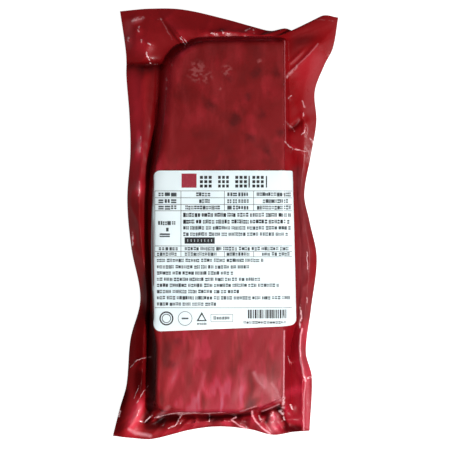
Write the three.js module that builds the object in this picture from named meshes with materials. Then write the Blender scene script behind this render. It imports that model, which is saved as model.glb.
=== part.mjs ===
// A whole slab of bacon, vacuum sealed in a pouch of red film, with a paper label on its upper face.
// The pouch lies on its back. X runs across it, Y along it towards the end with the raised flap, Z up.
// Sizes are in millimetres. The origin is under the middle of the pouch, on the surface it lies on.
import * as THREE from "three";

// The slab
const SLAB_THICKNESS = 26;
const CROWN_ACROSS = 1.0;
const CROWN_ALONG = 1.6;
const SHOULDER_WIDTH = 3;
const SHOULDER_DROP_LEFT = 3.0;
const SHOULDER_DROP_RIGHT = 0.9;
const UNDERSIDE_LIFT = 1.2;
const SLAB_HALF_WIDTH = 42;
const SLAB_HALF_LENGTH = 121;

// The film, which is two layers where they are sealed together round the slab
const FILM_THICKNESS = 0.8;
const LOWEST_FILM = 1.5;
const NARROWEST_FOLD = 5;

// The label
const LABEL_THICKNESS = 0.4;
const LABEL_GAP = 0.35;
const LABEL_CORNERS = {
  nearLeft: [-46.6, -70],
  nearRight: [46.6, -66.4],
  farRight: [44.4, 35.2],
  farLeft: [-46.6, 35.2],
};
const LABEL_SIDE_BOW = 1.6;

// How finely the surfaces are divided
const CELLS_ACROSS = 20;
const CELLS_ALONG = 50;
const SHOULDER_RINGS = 1;
const WALL_RINGS = 3;
const SEAL_RINGS = 7;
const CORNER_CROWDING = 0.3;
const LABEL_ROWS = 22;
const LABEL_COLUMNS = 12;
const LABEL_EDGE_COLUMNS = 3;

// A smooth curve through pairs of place and value, which are in order of place.
function curveThrough(pairs) {
  const last = pairs.length - 1;
  const slope = (i) => {
    const [a, va] = pairs[Math.max(i - 1, 0)];
    const [b, vb] = pairs[Math.min(i + 1, last)];
    return (vb - va) / (b - a);
  };
  return (place) => {
    const at = THREE.MathUtils.clamp(place, pairs[0][0], pairs[last][0]);
    const found = pairs.findIndex(([end]) => end >= at);
    const i = Math.max(found, 1);
    const [a, va] = pairs[i - 1];
    const [b, vb] = pairs[i];
    const t = (at - a) / (b - a);
    const rise = (vb - va) * (3 - 2 * t) * t * t;
    const bend = (b - a) * t * (1 - t) * (slope(i - 1) * (1 - t) - slope(i) * t);
    return va + rise + bend;
  };
}

// A contour has four sides and four corners. Its left and right sides give X at a Y, its near and far
// sides give Y at an X, and each corner has its place and the two radii of its rounding.

// The free edge of the film, as the sealed pouch curls and narrows at its waist.
const OUTLINE = {
  left: curveThrough([
    [-140, -74.4],
    [-121, -69.6],
    [-106, -65.4],
    [-76, -62.8],
    [-49, -56.2],
    [-15, -62.2],
    [16, -64.8],
    [48, -62.7],
    [73, -63.3],
    [98, -65.2],
    [113, -65.4],
    [140.4, -69.2],
  ]),
  right: curveThrough([
    [-136.5, 55.9],
    [-101, 57.4],
    [-84, 53.4],
    [-55, 56.9],
    [-22, 60.6],
    [2, 55.8],
    [20, 52.3],
    [47, 56.9],
    [68, 60.3],
    [88, 59.2],
    [105, 65.4],
    [116, 70.9],
    [136, 74.3],
  ]),
  near: curveThrough([
    [-74.4, -140],
    [-60, -141.6],
    [-48, -142],
    [-22, -135.6],
    [-4, -133.6],
    [16, -135.4],
    [32, -139.2],
    [45, -137.3],
    [55.9, -136.5],
  ]),
  far: curveThrough([
    [-69.2, 140.4],
    [-50, 142],
    [-28, 141.4],
    [0, 135.2],
    [20, 129.6],
    [30, 127.3],
    [39.5, 128.9],
    [45, 127.2],
    [52, 129],
    [63.5, 137.1],
    [74.3, 136],
  ]),
  corners: {
    nearLeft: { at: [-74.4, -140], radii: [0, 0] },
    nearRight: { at: [55.9, -136.5], radii: [0, 0] },
    farRight: { at: [74.3, 136], radii: [0, 0] },
    farLeft: { at: [-69.2, 140.4], radii: [0, 0] },
  },
};

// The edge of the slab's upper face. The far left corner of the meat is cut off at a slant.
const SLAB_EDGE = {
  left: curveThrough([
    [-123, -46.9],
    [-93, -45.8],
    [-40, -45],
    [10, -44.6],
    [46, -43],
    [61, -41],
    [90, -37],
    [119.5, -34.5],
  ]),
  right: curveThrough([
    [-115.5, 38.2],
    [-60, 38.7],
    [30, 39],
    [119.5, 38.3],
  ]),
  near: curveThrough([
    [-46.9, -123],
    [0, -123.3],
    [20, -121.5],
    [38.2, -115.5],
  ]),
  far: () => 119.5,
  corners: {
    nearLeft: { at: [-46.9, -123], radii: [8, 8] },
    nearRight: { at: [38.2, -115.5], radii: [5, 5] },
    farRight: { at: [38.3, 119.5], radii: [4, 4] },
    farLeft: { at: [-34.5, 119.5], radii: [28, 20] },
  },
};

// The foot of the slab's sides, where the film leaves the meat. Beside the label the film is stretched
// from the slab's right edge straight to the seal, so its foot is further out there.
const SLAB_FOOT = {
  left: curveThrough([
    [-129, -53.5],
    [-103, -53.5],
    [-74, -51.4],
    [-50, -49.6],
    [-30, -49.8],
    [-3, -53],
    [27, -52],
    [42, -49.5],
    [61, -46.5],
    [80, -44.9],
    [121.8, -44.5],
  ]),
  right: curveThrough([
    [-123, 43.6],
    [-95, 43.2],
    [-78, 44.2],
    [-60, 47.8],
    [-20, 49.8],
    [0, 49],
    [20, 47.3],
    [44, 46.5],
    [57, 43],
    [90, 42.2],
    [121.8, 41.8],
  ]),
  near: curveThrough([
    [-53.5, -129],
    [-20, -128.6],
    [0, -128.2],
    [20, -127.4],
    [43.6, -123],
  ]),
  far: () => 121.8,
  corners: {
    nearLeft: { at: [-53.5, -129], radii: [10, 10] },
    nearRight: { at: [43.6, -123], radii: [7, 7] },
    farRight: { at: [41.8, 121.8], radii: [5, 5] },
    farLeft: { at: [-44.5, 121.8], radii: [38, 24] },
  },
};

// Heights round the pouch. Places 0 to 4 run from the near left corner along the near, right, far and
// left sides, so a whole number is a corner.
const footHeight = curveThrough([
  [0, 5],
  [0.5, 6],
  [1, 6],
  [1.12, 5],
  [1.2, 6],
  [1.3, 10],
  [1.6, 11.5],
  [1.68, 9.5],
  [1.76, 6],
  [1.9, 6],
  [2, 7],
  [2.5, 6.5],
  [3, 8.5],
  [3.08, 5.5],
  [3.3, 6.5],
  [3.5, 7.5],
  [3.62, 8],
  [3.75, 5.5],
  [3.9, 4.5],
  [4, 5],
]);
const outerHeight = curveThrough([
  [0, 4],
  [0.2, 4],
  [0.5, 7],
  [0.75, 6],
  [1, 6],
  [1.12, 7],
  [1.2, 10],
  [1.4, 8],
  [1.57, 11],
  [1.7, 8.5],
  [1.8, 8],
  [1.9, 12],
  [2, 18],
  [2.1, 13],
  [2.2, 8],
  [2.35, 8],
  [2.5, 7],
  [2.75, 10],
  [3, 13],
  [3.12, 8.5],
  [3.2, 7.5],
  [3.3, 8],
  [3.5, 7],
  [3.66, 10],
  [3.75, 9],
  [3.87, 6],
  [4, 4],
]);
const rollHeight = curveThrough([
  [0, 2],
  [0.1, 1.5],
  [0.9, 1.5],
  [1, 2],
  [1.1, 3],
  [1.2, 3],
  [1.35, 1.5],
  [1.6, 1],
  [1.72, 2.5],
  [1.9, 3.5],
  [2.1, 3.5],
  [2.3, 2.5],
  [2.6, 4.5],
  [3, 5],
  [3.1, 4.5],
  [3.2, 5],
  [3.5, 4.5],
  [3.65, 2.5],
  [3.8, 4],
  [4, 2],
]);

// Folds in the sealed film. Each follows a path, rises or sinks by its rise and is as wide as width.
const FOLDS = [
  { path: [[-64.8, 105.9], [-44.3, 105.3]], rise: -4, width: 4 }, // under the far left flap
  { path: [[-56, 124], [-50, 113]], rise: 3, width: 7 }, // the flap's own bulge
  { path: [[-25.2, 118.5], [-40.4, 137]], rise: 2.5, width: 3 },
  { path: [[-13, 124], [4, 126], [22, 124]], rise: 1.5, width: 3 },
  { path: [[40.8, 97.4], [55, 112], [61.3, 119.1]], rise: 4.5, width: 5 }, // to the far right flap
  { path: [[40.2, 118.5], [61.3, 122.4]], rise: -4, width: 6 }, // the hollow beside it
  { path: [[40.8, 61], [52.7, 70.3]], rise: -2.5, width: 3 },
  { path: [[39.2, 55.1], [51.4, 47.9]], rise: 2, width: 3 },
  { path: [[50, -69.6], [49.1, -84.2], [51.4, -93.4], [54.7, -101.3]], rise: 3, width: 3 },
  { path: [[51, -104], [51.4, -136.3]], rise: 1.5, width: 2.5 },
  { path: [[-62.8, -94.7], [-54.2, -88.1], [-49.2, -86.8]], rise: 2, width: 3 },
  { path: [[-53.6, -118.5], [-64.1, -138.3]], rise: 3.5, width: 5 }, // to the near left flap
  { path: [[-39, -122.9], [-52.2, -131.7]], rise: 2.5, width: 3 },
];
// Short creases crowd together across the narrow near seal.
const NEAR_CREASES = 9;
const NEAR_CREASE_FIRST_X = -27;
const NEAR_CREASE_STEP = 8.2;
for (let i = 0; i < NEAR_CREASES; i += 1) {
  const x = NEAR_CREASE_FIRST_X + NEAR_CREASE_STEP * i;
  const lean = 4 * Math.sin(2.3 * i);
  FOLDS.push({
    path: [[x, -125.5], [x + lean, -134.5]],
    rise: 1.4 * (i % 2 ? -1 : 1),
    width: 2.5,
  });
}

const SIDES = [
  { side: "near", from: "nearLeft", to: "nearRight", axis: 0, inward: 1 },
  { side: "right", from: "nearRight", to: "farRight", axis: 1, inward: -1 },
  { side: "far", from: "farRight", to: "farLeft", axis: 0, inward: -1 },
  { side: "left", from: "farLeft", to: "nearLeft", axis: 1, inward: 1 },
];

// How far along and in from a square corner the rounded contour lies, for a distance from the corner.
function cornerCut(distance, alongRadius, acrossRadius) {
  if (distance >= alongRadius) return [distance, 0];
  const angle = (Math.PI / 4) * (1 - distance / alongRadius);
  return [alongRadius * (1 - Math.sin(angle)), acrossRadius * (1 - Math.cos(angle))];
}

// The point of a contour at a place round it.
function contourPoint(contour, place) {
  const index = Math.min(Math.floor(place), 3);
  const { side, from, to, axis, inward } = SIDES[index];
  const start = contour.corners[from];
  const end = contour.corners[to];
  const length = Math.abs(end.at[axis] - start.at[axis]);
  const direction = Math.sign(end.at[axis] - start.at[axis]);
  const gone = (place - index) * length;
  const left = length - gone;
  let along = gone;
  let inset = 0;
  if (gone <= left) {
    [along, inset] = cornerCut(gone, start.radii[axis], start.radii[1 - axis]);
  } else {
    const [back, cut] = cornerCut(left, end.radii[axis], end.radii[1 - axis]);
    along = length - back;
    inset = cut;
  }
  const main = start.at[axis] + direction * along;
  const cross = contour[side](main) + inward * inset;
  return axis === 0 ? [main, cross] : [cross, main];
}

// The same contour moved inwards.
function insetContour(contour, by) {
  const moved = { corners: {} };
  for (const { side, inward } of SIDES) {
    moved[side] = (main) => contour[side](main) + inward * by;
  }
  for (const [name, { at, radii }] of Object.entries(contour.corners)) {
    moved.corners[name] = {
      at: [at[0] - Math.sign(at[0]) * by, at[1] - Math.sign(at[1]) * by],
      radii: radii.map((r) => Math.max(r - by, 1)),
    };
  }
  return moved;
}

const FACE_RIM = insetContour(SLAB_EDGE, SHOULDER_WIDTH);
const CONTOURS = [FACE_RIM, SLAB_EDGE, SLAB_FOOT, OUTLINE];

const mix = (a, b, t) => a + (b - a) * t;

// The height of the slab's upper face, which is a little uneven.
function faceHeight(x, y) {
  const crown = CROWN_ACROSS * (x / SLAB_HALF_WIDTH) ** 2;
  const ends = CROWN_ALONG * (y / SLAB_HALF_LENGTH) ** 4;
  const swell = 0.35 * Math.sin(0.09 * x + 1.3 * Math.sin(0.035 * y)) * Math.sin(0.05 * y + 0.7);
  return SLAB_THICKNESS - crown - ends + swell;
}

function shoulderDrop(x) {
  const t = THREE.MathUtils.smoothstep(x, -SLAB_HALF_WIDTH, SLAB_HALF_WIDTH);
  return mix(SHOULDER_DROP_LEFT, SHOULDER_DROP_RIGHT, t);
}

// How near a point is to a fold's path, and how far along the path that is.
function nearPath(path, x, y) {
  let best = { distance: Infinity, along: 0 };
  for (let i = 0; i + 1 < path.length; i += 1) {
    const [ax, ay] = path[i];
    const [bx, by] = path[i + 1];
    const span = (bx - ax) ** 2 + (by - ay) ** 2;
    const t = THREE.MathUtils.clamp(((x - ax) * (bx - ax) + (y - ay) * (by - ay)) / span, 0, 1);
    const distance = Math.hypot(x - mix(ax, bx, t), y - mix(ay, by, t));
    if (distance < best.distance) best = { distance, along: (i + t) / (path.length - 1) };
  }
  return best;
}

// The sum of all the folds at a point.
function foldHeight(x, y) {
  let sum = 0;
  for (const { path, rise, width } of FOLDS) {
    const { distance, along } = nearPath(path, x, y);
    const taper = 0.35 + 0.65 * Math.sin(Math.PI * along);
    sum += rise * taper * Math.exp(-((distance / Math.max(width, NARROWEST_FOLD)) ** 2));
  }
  return sum;
}

// The film at a place round the pouch. Across, 0 is the rim of the slab's face, 1 its edge, 2 its foot
// and 3 the free edge of the film.
function filmPoint(place, across) {
  const band = Math.min(Math.floor(across), 2);
  const t = across - band;
  const [ix, iy] = contourPoint(CONTOURS[band], place);
  const [ox, oy] = contourPoint(CONTOURS[band + 1], place);
  const x = mix(ix, ox, t);
  const y = mix(iy, oy, t);
  return { x, y, ...filmHeights(x, y, place, band, t) };
}

function filmHeights(x, y, place, band, t) {
  const edge = faceHeight(x, y) - shoulderDrop(x);
  const foot = footHeight(place);
  const half = FILM_THICKNESS / 2;
  if (band === 0) {
    const top = faceHeight(x, y) - shoulderDrop(x) * (1 - Math.sqrt(1 - t * t));
    return { top, bottom: UNDERSIDE_LIFT * Math.max(2 * t - 1, 0) ** 2 };
  }
  if (band === 1) {
    const folds = foldHeight(x, y) * t ** 2;
    const top = mix(edge, foot + half, 1 - (1 - t) ** 1.5) + folds;
    const bottom = mix(UNDERSIDE_LIFT, foot - half, t ** 1.3) + folds;
    return { top, bottom: Math.min(Math.max(bottom, UNDERSIDE_LIFT), top - FILM_THICKNESS) };
  }
  const roll = rollHeight(place) * Math.sin(Math.PI * t ** 0.85);
  const middle = mix(foot, outerHeight(place), t) + roll + foldHeight(x, y);
  const clear = Math.max(middle, LOWEST_FILM);
  return { top: clear + half, bottom: clear - half };
}

// A closed thin body from two layers of points with the same faces. Rim is the loop of points round
// the faces, counterclockwise from above.
function layeredGeometry(points, quads, rim) {
  const count = points.length;
  const position = new Float32Array(count * 6);
  points.forEach(({ x, y, top, bottom }, i) => {
    position.set([x, y, top], i * 3);
    position.set([x, y, bottom], (count + i) * 3);
  });
  const index = [];
  for (const [a, b, c, d] of quads) {
    index.push(a, b, c, a, c, d);
    index.push(count + a, count + c, count + b, count + a, count + d, count + c);
  }
  rim.forEach((a, i) => {
    const b = rim[(i + 1) % rim.length];
    index.push(a, count + a, count + b, a, count + b, b);
  });
  const geometry = new THREE.BufferGeometry();
  geometry.setAttribute("position", new THREE.BufferAttribute(position, 3));
  geometry.setIndex(index);
  geometry.computeVertexNormals();
  return geometry;
}

// Places round the pouch, closer together near its corners, as many on each side as the face has cells.
function placesRound() {
  const places = [];
  for (let side = 0; side < 4; side += 1) {
    const cells = side % 2 ? CELLS_ALONG : CELLS_ACROSS;
    for (let i = 0; i < cells; i += 1) {
      const t = i / cells;
      places.push(side + t - (CORNER_CROWDING * Math.sin(2 * Math.PI * t)) / (2 * Math.PI));
    }
  }
  return places;
}

// The face of the slab inside its rim: a grid whose border points are the rim's own.
function faceGrid(places, points) {
  const across = CELLS_ACROSS;
  const along = CELLS_ALONG;
  const round = places.length;
  const borderIndex = (i, j) => {
    if (j === 0) return i;
    if (i === across) return across + j;
    if (j === along) return across + along + (across - i);
    if (i === 0) return (round - j) % round;
    return -1;
  };
  const ids = [];
  for (let i = 0; i <= across; i += 1) {
    ids.push([]);
    for (let j = 0; j <= along; j += 1) {
      const known = borderIndex(i, j);
      ids[i].push(known);
      if (known >= 0) continue;
      const near = points[borderIndex(i, 0)];
      const far = points[borderIndex(i, along)];
      const left = points[borderIndex(0, j)];
      const right = points[borderIndex(across, j)];
      const u = i / across;
      const v = j / along;
      const blend = (key) => {
        const sides = mix(near[key], far[key], v) + mix(left[key], right[key], u);
        const nearSide = mix(points[borderIndex(0, 0)][key], points[borderIndex(across, 0)][key], u);
        const farSide = mix(points[borderIndex(0, along)][key], points[borderIndex(across, along)][key], u);
        return sides - mix(nearSide, farSide, v);
      };
      const x = blend("x");
      const y = blend("y");
      ids[i][j] = points.length;
      points.push({ x, y, top: faceHeight(x, y), bottom: 0 });
    }
  }
  const quads = [];
  for (let i = 0; i < across; i += 1) {
    for (let j = 0; j < along; j += 1) {
      quads.push([ids[i][j], ids[i + 1][j], ids[i + 1][j + 1], ids[i][j + 1]]);
    }
  }
  return quads;
}

// The sealed pouch with the slab in it, one body out to the edge of its film.
function pouchGeometry() {
  const places = placesRound();
  const round = places.length;
  const rings = [0];
  [SHOULDER_RINGS, WALL_RINGS, SEAL_RINGS].forEach((count, band) => {
    for (let k = 1; k <= count; k += 1) rings.push(band + k / count);
  });
  const points = places.map((place) => filmPoint(place, 0));
  const quads = faceGrid(places, points);
  let inner = places.map((_, i) => i);
  for (const across of rings.slice(1)) {
    const outer = places.map((place) => points.push(filmPoint(place, across)) - 1);
    for (let i = 0; i < round; i += 1) {
      const next = (i + 1) % round;
      quads.push([inner[i], outer[i], outer[next], inner[next]]);
    }
    inner = outer;
  }
  return layeredGeometry(points, quads, inner);
}

// The height of the pouch's upper side beside the label, where its long sides are plain.
function heightUnderLabel(x, y) {
  const right = x > 0;
  const side = right ? "right" : "left";
  const outward = right ? 1 : -1;
  const { from, to } = SIDES.find((found) => found.side === side);
  const base = right ? 1 : 3;
  const start = SLAB_FOOT.corners[from].at[1];
  const end = SLAB_FOOT.corners[to].at[1];
  const place = base + (y - start) / (end - start);
  const lines = CONTOURS.map((contour) => contour[side](y));
  if (outward * (x - lines[0]) <= 0) return faceHeight(x, y);
  const band = outward * (x - lines[1]) <= 0 ? 0 : 1;
  const t = (x - lines[band]) / (lines[band + 1] - lines[band]);
  return filmHeights(x, y, place, band, THREE.MathUtils.clamp(t, 0, 1)).top;
}

// The label: a sheet that lies on the slab's face and bends down over its two long edges.
function labelGeometry() {
  const { nearLeft, nearRight, farRight, farLeft } = LABEL_CORNERS;
  const points = [];
  const columns = [];
  const rows = [];
  for (let j = 0; j <= LABEL_ROWS; j += 1) rows.push(j / LABEL_ROWS);
  for (const v of rows) {
    const leftX = mix(nearLeft[0], farLeft[0], v) - LABEL_SIDE_BOW * Math.sin(Math.PI * v);
    const rightX = mix(nearRight[0], farRight[0], v);
    const yAt = (x) => {
      const u = (x - leftX) / (rightX - leftX);
      return mix(mix(nearLeft[1], nearRight[1], u), mix(farLeft[1], farRight[1], u), v);
    };
    const middleY = yAt(0);
    const stops = [leftX, SLAB_EDGE.left(middleY), FACE_RIM.left(middleY)];
    stops.push(FACE_RIM.right(middleY), SLAB_EDGE.right(middleY), rightX);
    const counts = [1, 1, LABEL_COLUMNS, 1, LABEL_EDGE_COLUMNS];
    const xs = [leftX];
    counts.forEach((count, k) => {
      for (let i = 1; i <= count; i += 1) xs.push(mix(stops[k], stops[k + 1], i / count));
    });
    columns.push(
      xs.map((x) => {
        const y = yAt(x);
        const bottom = heightUnderLabel(x, y) + LABEL_GAP;
        return points.push({ x, y, bottom, top: bottom + LABEL_THICKNESS }) - 1;
      }),
    );
  }
  const quads = [];
  const width = columns[0].length - 1;
  for (let j = 0; j < LABEL_ROWS; j += 1) {
    for (let i = 0; i < width; i += 1) {
      quads.push([columns[j][i], columns[j][i + 1], columns[j + 1][i + 1], columns[j + 1][i]]);
    }
  }
  const near = columns[0].slice(0, width);
  const right = columns.slice(0, LABEL_ROWS).map((row) => row[width]);
  const far = columns[LABEL_ROWS].slice(1).reverse();
  const left = columns.slice(1).map((row) => row[0]);
  return layeredGeometry(points, quads, [...near, ...right, ...far, ...left.reverse()]);
}

function mesh(name, geometry, colour, roughness) {
  const material = new THREE.MeshStandardMaterial({ color: colour, roughness, metalness: 0 });
  const made = new THREE.Mesh(geometry, material);
  made.name = name;
  return made;
}

const pouch = mesh("pouch", pouchGeometry(), 0x8f1f26, 0.25);
const label = mesh("label", labelGeometry(), 0xf2f6f6, 0.55);

// The group is placed so that the origin is under the middle of the pouch.
const pack = new THREE.Group();
pack.add(pouch, label);
const box = new THREE.Box3().setFromObject(pouch);
pack.position.set(-(box.min.x + box.max.x) / 2, -(box.min.y + box.max.y) / 2, -box.min.z);

export default pack;
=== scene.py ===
"""A slab of bacon, vacuum sealed in red film with a paper label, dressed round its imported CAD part.

The pack lies on its back. X runs across it, Y along it towards the end with the raised flaps, and Z up.
Forms are worked out in millimetres and turned into metres when a mesh is written.
"""

import itertools
import logging
import math
from collections.abc import Callable
from dataclasses import dataclass
from enum import Enum

import bmesh
import bpy
import numpy as np
from mathutils import Matrix, Vector
from mathutils.bvhtree import BVHTree


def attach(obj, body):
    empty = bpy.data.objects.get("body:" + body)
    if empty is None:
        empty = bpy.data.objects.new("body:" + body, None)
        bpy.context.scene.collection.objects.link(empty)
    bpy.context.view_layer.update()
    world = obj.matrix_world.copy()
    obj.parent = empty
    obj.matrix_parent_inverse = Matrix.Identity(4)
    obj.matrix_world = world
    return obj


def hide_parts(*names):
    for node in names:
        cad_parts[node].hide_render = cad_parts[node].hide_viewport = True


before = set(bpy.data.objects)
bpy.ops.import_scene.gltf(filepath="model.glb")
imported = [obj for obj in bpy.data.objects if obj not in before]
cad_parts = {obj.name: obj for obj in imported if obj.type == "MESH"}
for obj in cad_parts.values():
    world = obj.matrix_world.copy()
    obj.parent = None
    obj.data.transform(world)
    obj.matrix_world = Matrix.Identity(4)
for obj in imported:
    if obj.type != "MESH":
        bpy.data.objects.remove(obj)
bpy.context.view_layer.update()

MM = 0.001
# How near to a line counts as on it, and a number that keeps a share from reaching 0 or 1
CLOSE = 1e-4
TINY = 1e-9
SHARP_ANGLE = math.radians(60)
BODY = "root"
LOG = logging.getLogger("bacon_pack")

Array = np.ndarray
Socket = bpy.types.NodeSocket
Triple = tuple[float, float, float]
Colour = Triple
Pairs = tuple[tuple[float, float], ...]
# Left, right, bottom and top
Box = tuple[float, float, float, float]

IN_PLANE = (1.0, 1.0, 0.0)
UPWARDS = (0.0, 0.0, 1.0)


# Curves, contours and noise that the forms are worked out with


@dataclass(frozen=True)
class Curve:
    """A smooth curve through pairs of place and value, which are in order of place."""

    pairs: Pairs

    def __call__(self, place: Array) -> Array:
        """Reads the curve.

        Args:
            place: Where to read it. Past either end it keeps the end's value.

        Returns:
            The curve's values there.
        """
        places, values = np.array(self.pairs, dtype=float).T
        last = len(places) - 1
        before = np.maximum(np.arange(last + 1) - 1, 0)
        after = np.minimum(np.arange(last + 1) + 1, last)
        slopes = (values[after] - values[before]) / (places[after] - places[before])
        at = np.clip(place, places[0], places[-1])
        i = np.clip(np.searchsorted(places, at), 1, last)
        span = places[i] - places[i - 1]
        t = (at - places[i - 1]) / span
        rise = (values[i] - values[i - 1]) * (3 - 2 * t) * t**2
        bend = span * t * (1 - t) * (slopes[i - 1] * (1 - t) - slopes[i] * t)
        return values[i - 1] + rise + bend


class Side(Enum):
    """The four sides of a contour, each with the index of the corner that it starts from."""

    NEAR = 0
    RIGHT = 1
    FAR = 2
    LEFT = 3

    @property
    def runs_across(self) -> bool:
        """True if the side runs along X."""
        return self in (Side.NEAR, Side.FAR)

    @property
    def inward(self) -> int:
        """The sign of the way from the side to the middle."""
        return 1 if self in (Side.NEAR, Side.LEFT) else -1


@dataclass(frozen=True)
class Corner:
    """A contour's corner: its place, and the radii of its rounding along X and along Y."""

    at: tuple[float, float]
    radii: tuple[float, float] = (0.0, 0.0)


@dataclass(frozen=True)
class Contour:
    """A closed line round the pack.

    Places 0 to 4 run counterclockwise from the near left corner, so a whole number is a corner. The near
    and far sides give Y at an X, and the others X at a Y.
    """

    sides: dict[Side, Curve]
    corners: tuple[Corner, Corner, Corner, Corner]

    def point(self, place: Array) -> tuple[Array, Array]:
        """Finds points of the contour.

        Args:
            place: Places round it, from 0 to 4.

        Returns:
            Their X and Y.
        """
        x, y = np.empty_like(place), np.empty_like(place)
        index = np.minimum(place.astype(int), 3)
        for side in Side:
            chosen = index == side.value
            main, cross = self._along(side, place[chosen] - side.value)
            x[chosen], y[chosen] = (main, cross) if side.runs_across else (cross, main)
        return x, y

    def _along(self, side: Side, t: Array) -> tuple[Array, Array]:
        """Finds points of one side.

        Args:
            side: The side.
            t: How far along it, from 0 to 1.

        Returns:
            Their coordinates along and across the side.
        """
        start, end = self.corners[side.value], self.corners[(side.value + 1) % 4]
        axis = 0 if side.runs_across else 1
        span = end.at[axis] - start.at[axis]
        gone = t * abs(span)
        left = abs(span) - gone
        first, first_cut = self._rounded(gone, start.radii, axis)
        back, last_cut = self._rounded(left, end.radii, axis)
        nearer_start = gone <= left
        along = np.where(nearer_start, first, abs(span) - back)
        main = start.at[axis] + math.copysign(1, span) * along
        cut = np.where(nearer_start, first_cut, last_cut)
        return main, self.sides[side](main) + side.inward * cut

    @staticmethod
    def _rounded(distance: Array, radii: tuple[float, float], axis: int) -> tuple[Array, Array]:
        """Rounds the stretch beside a corner.

        Args:
            distance: Distances from the square corner.
            radii: The corner's radii along X and Y.
            axis: 0 if the side runs along X, or 1.

        Returns:
            How far along and in from the square corner the rounded contour lies.
        """
        main, cross = radii[axis], radii[1 - axis]
        if not main:
            return distance, np.zeros_like(distance)
        angle = math.pi / 4 * (1 - np.minimum(distance / main, 1))
        inside = distance < main
        along = np.where(inside, main * (1 - np.sin(angle)), distance)
        return along, np.where(inside, cross * (1 - np.cos(angle)), 0.0)


@dataclass(frozen=True)
class Noise:
    """Smooth noise in the plane, from a seeded lattice of slopes."""

    seed: int
    lattice: int = 256
    ridge_width: float = 0.35

    def __call__(self, x: Array, y: Array) -> Array:
        """Reads the noise.

        Args:
            x: First coordinates, in cells of the lattice.
            y: Second coordinates.

        Returns:
            Values from about -0.7 to 0.7.
        """
        random = np.random.default_rng(self.seed)
        size = self.lattice
        table = random.permutation(size)
        angles = random.uniform(0, 2 * math.pi, size)
        left, low = np.floor(x).astype(int), np.floor(y).astype(int)
        u, v = x - left, y - low

        def corner(i: int, j: int) -> Array:
            """The slope of one corner of each cell, at the point."""
            angle = angles[table[(table[(left + i) % size] + low + j) % size]]
            return np.cos(angle) * (u - i) + np.sin(angle) * (v - j)

        ease_u, ease_v = (t**3 * (t * (6 * t - 15) + 10) for t in (u, v))
        near = corner(0, 0) + (corner(1, 0) - corner(0, 0)) * ease_u
        far = corner(0, 1) + (corner(1, 1) - corner(0, 1)) * ease_u
        return near + (far - near) * ease_v

    def facets(self, x: Array, y: Array) -> Array:
        """Smooth facets that meet in sharp ridges.

        Args:
            x: First coordinates, in cells of the lattice.
            y: Second coordinates.

        Returns:
            0 on the ridges, and down to about -1 in the middle of a facet.
        """
        value = np.abs(self(x, y))
        return -value / (self.ridge_width + value)


@dataclass(frozen=True)
class Lumps:
    """Unevenness of one size: its height, the size of its cells along X and Y, and its noise's seed."""

    height: float
    cell: tuple[float, float]
    seed: int

    def __call__(self, x: Array, y: Array) -> Array:
        """The height that it adds."""
        return self.height * Noise(self.seed)(x / self.cell[0], y / self.cell[1])


@dataclass(frozen=True)
class Wrinkles(Lumps):
    """Facets that meet in sharp ridges, with the share of their height that stands above the film."""

    lift: float = 0.4

    def __call__(self, x: Array, y: Array) -> Array:
        """The height that they add."""
        facets = Noise(self.seed).facets(x / self.cell[0], y / self.cell[1])
        return self.height * (facets + self.lift)


def smooth_step(value: Array, start: float, end: float) -> Array:
    """Rises smoothly from 0 at start to 1 at end.

    Args:
        value: Where to read it.
        start: Where it leaves 0.
        end: Where it reaches 1.

    Returns:
        Values from 0 to 1.
    """
    t = np.clip((value - start) / (end - start), 0, 1)
    return t * t * (3 - 2 * t)


def each(kind: type, *rows: tuple) -> tuple:
    """Makes one thing of a kind from each row of its fields."""
    return tuple(kind(*row) for row in rows)


@dataclass(frozen=True)
class Fold:
    """A ridge, or a groove where its rise is negative, along a path over the film.

    Its width is that on the left of the path, and its right width defaults to the same. A power of 2 makes
    it round and a smaller one makes it sharp. At its ends it keeps the share of its rise that ends gives.
    """

    path: Pairs
    rise: float
    width: float
    right_width: float = 0.0
    power: float = 1.3
    ends: float = 0.2

    def height(self, x: Array, y: Array) -> Array:
        """Works out the fold's height.

        Args:
            x: X of the points.
            y: Y of the points.

        Returns:
            The height that the fold adds there.
        """
        best = np.full_like(x, np.inf)
        side = np.ones_like(x)
        along = np.zeros_like(x)
        count = len(self.path) - 1
        for i, ((ax, ay), (bx, by)) in enumerate(zip(self.path, self.path[1:])):
            dx, dy = bx - ax, by - ay
            t = np.clip(((x - ax) * dx + (y - ay) * dy) / (dx**2 + dy**2), 0, 1)
            distance = np.hypot(x - ax - t * dx, y - ay - t * dy)
            nearer = distance < best
            best = np.where(nearer, distance, best)
            side = np.where(nearer, np.sign(dx * (y - ay) - dy * (x - ax)), side)
            along = np.where(nearer, (i + t) / count, along)
        width = np.where(side > 0, self.width, self.right_width or self.width)
        taper = self.ends + (1 - self.ends) * np.sin(math.pi * along)
        return self.rise * taper * np.exp(-((best / width) ** self.power))


@dataclass(frozen=True)
class Dimple:
    """A small round bump in the film: its centre, radius and rise."""

    centre: tuple[float, float]
    radius: float
    rise: float

    def height(self, x: Array, y: Array) -> Array:
        """The height that the bump adds."""
        distance = np.hypot(x - self.centre[0], y - self.centre[1])
        return self.rise * np.exp(-((distance / self.radius) ** 2))


# The pack's form


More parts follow.
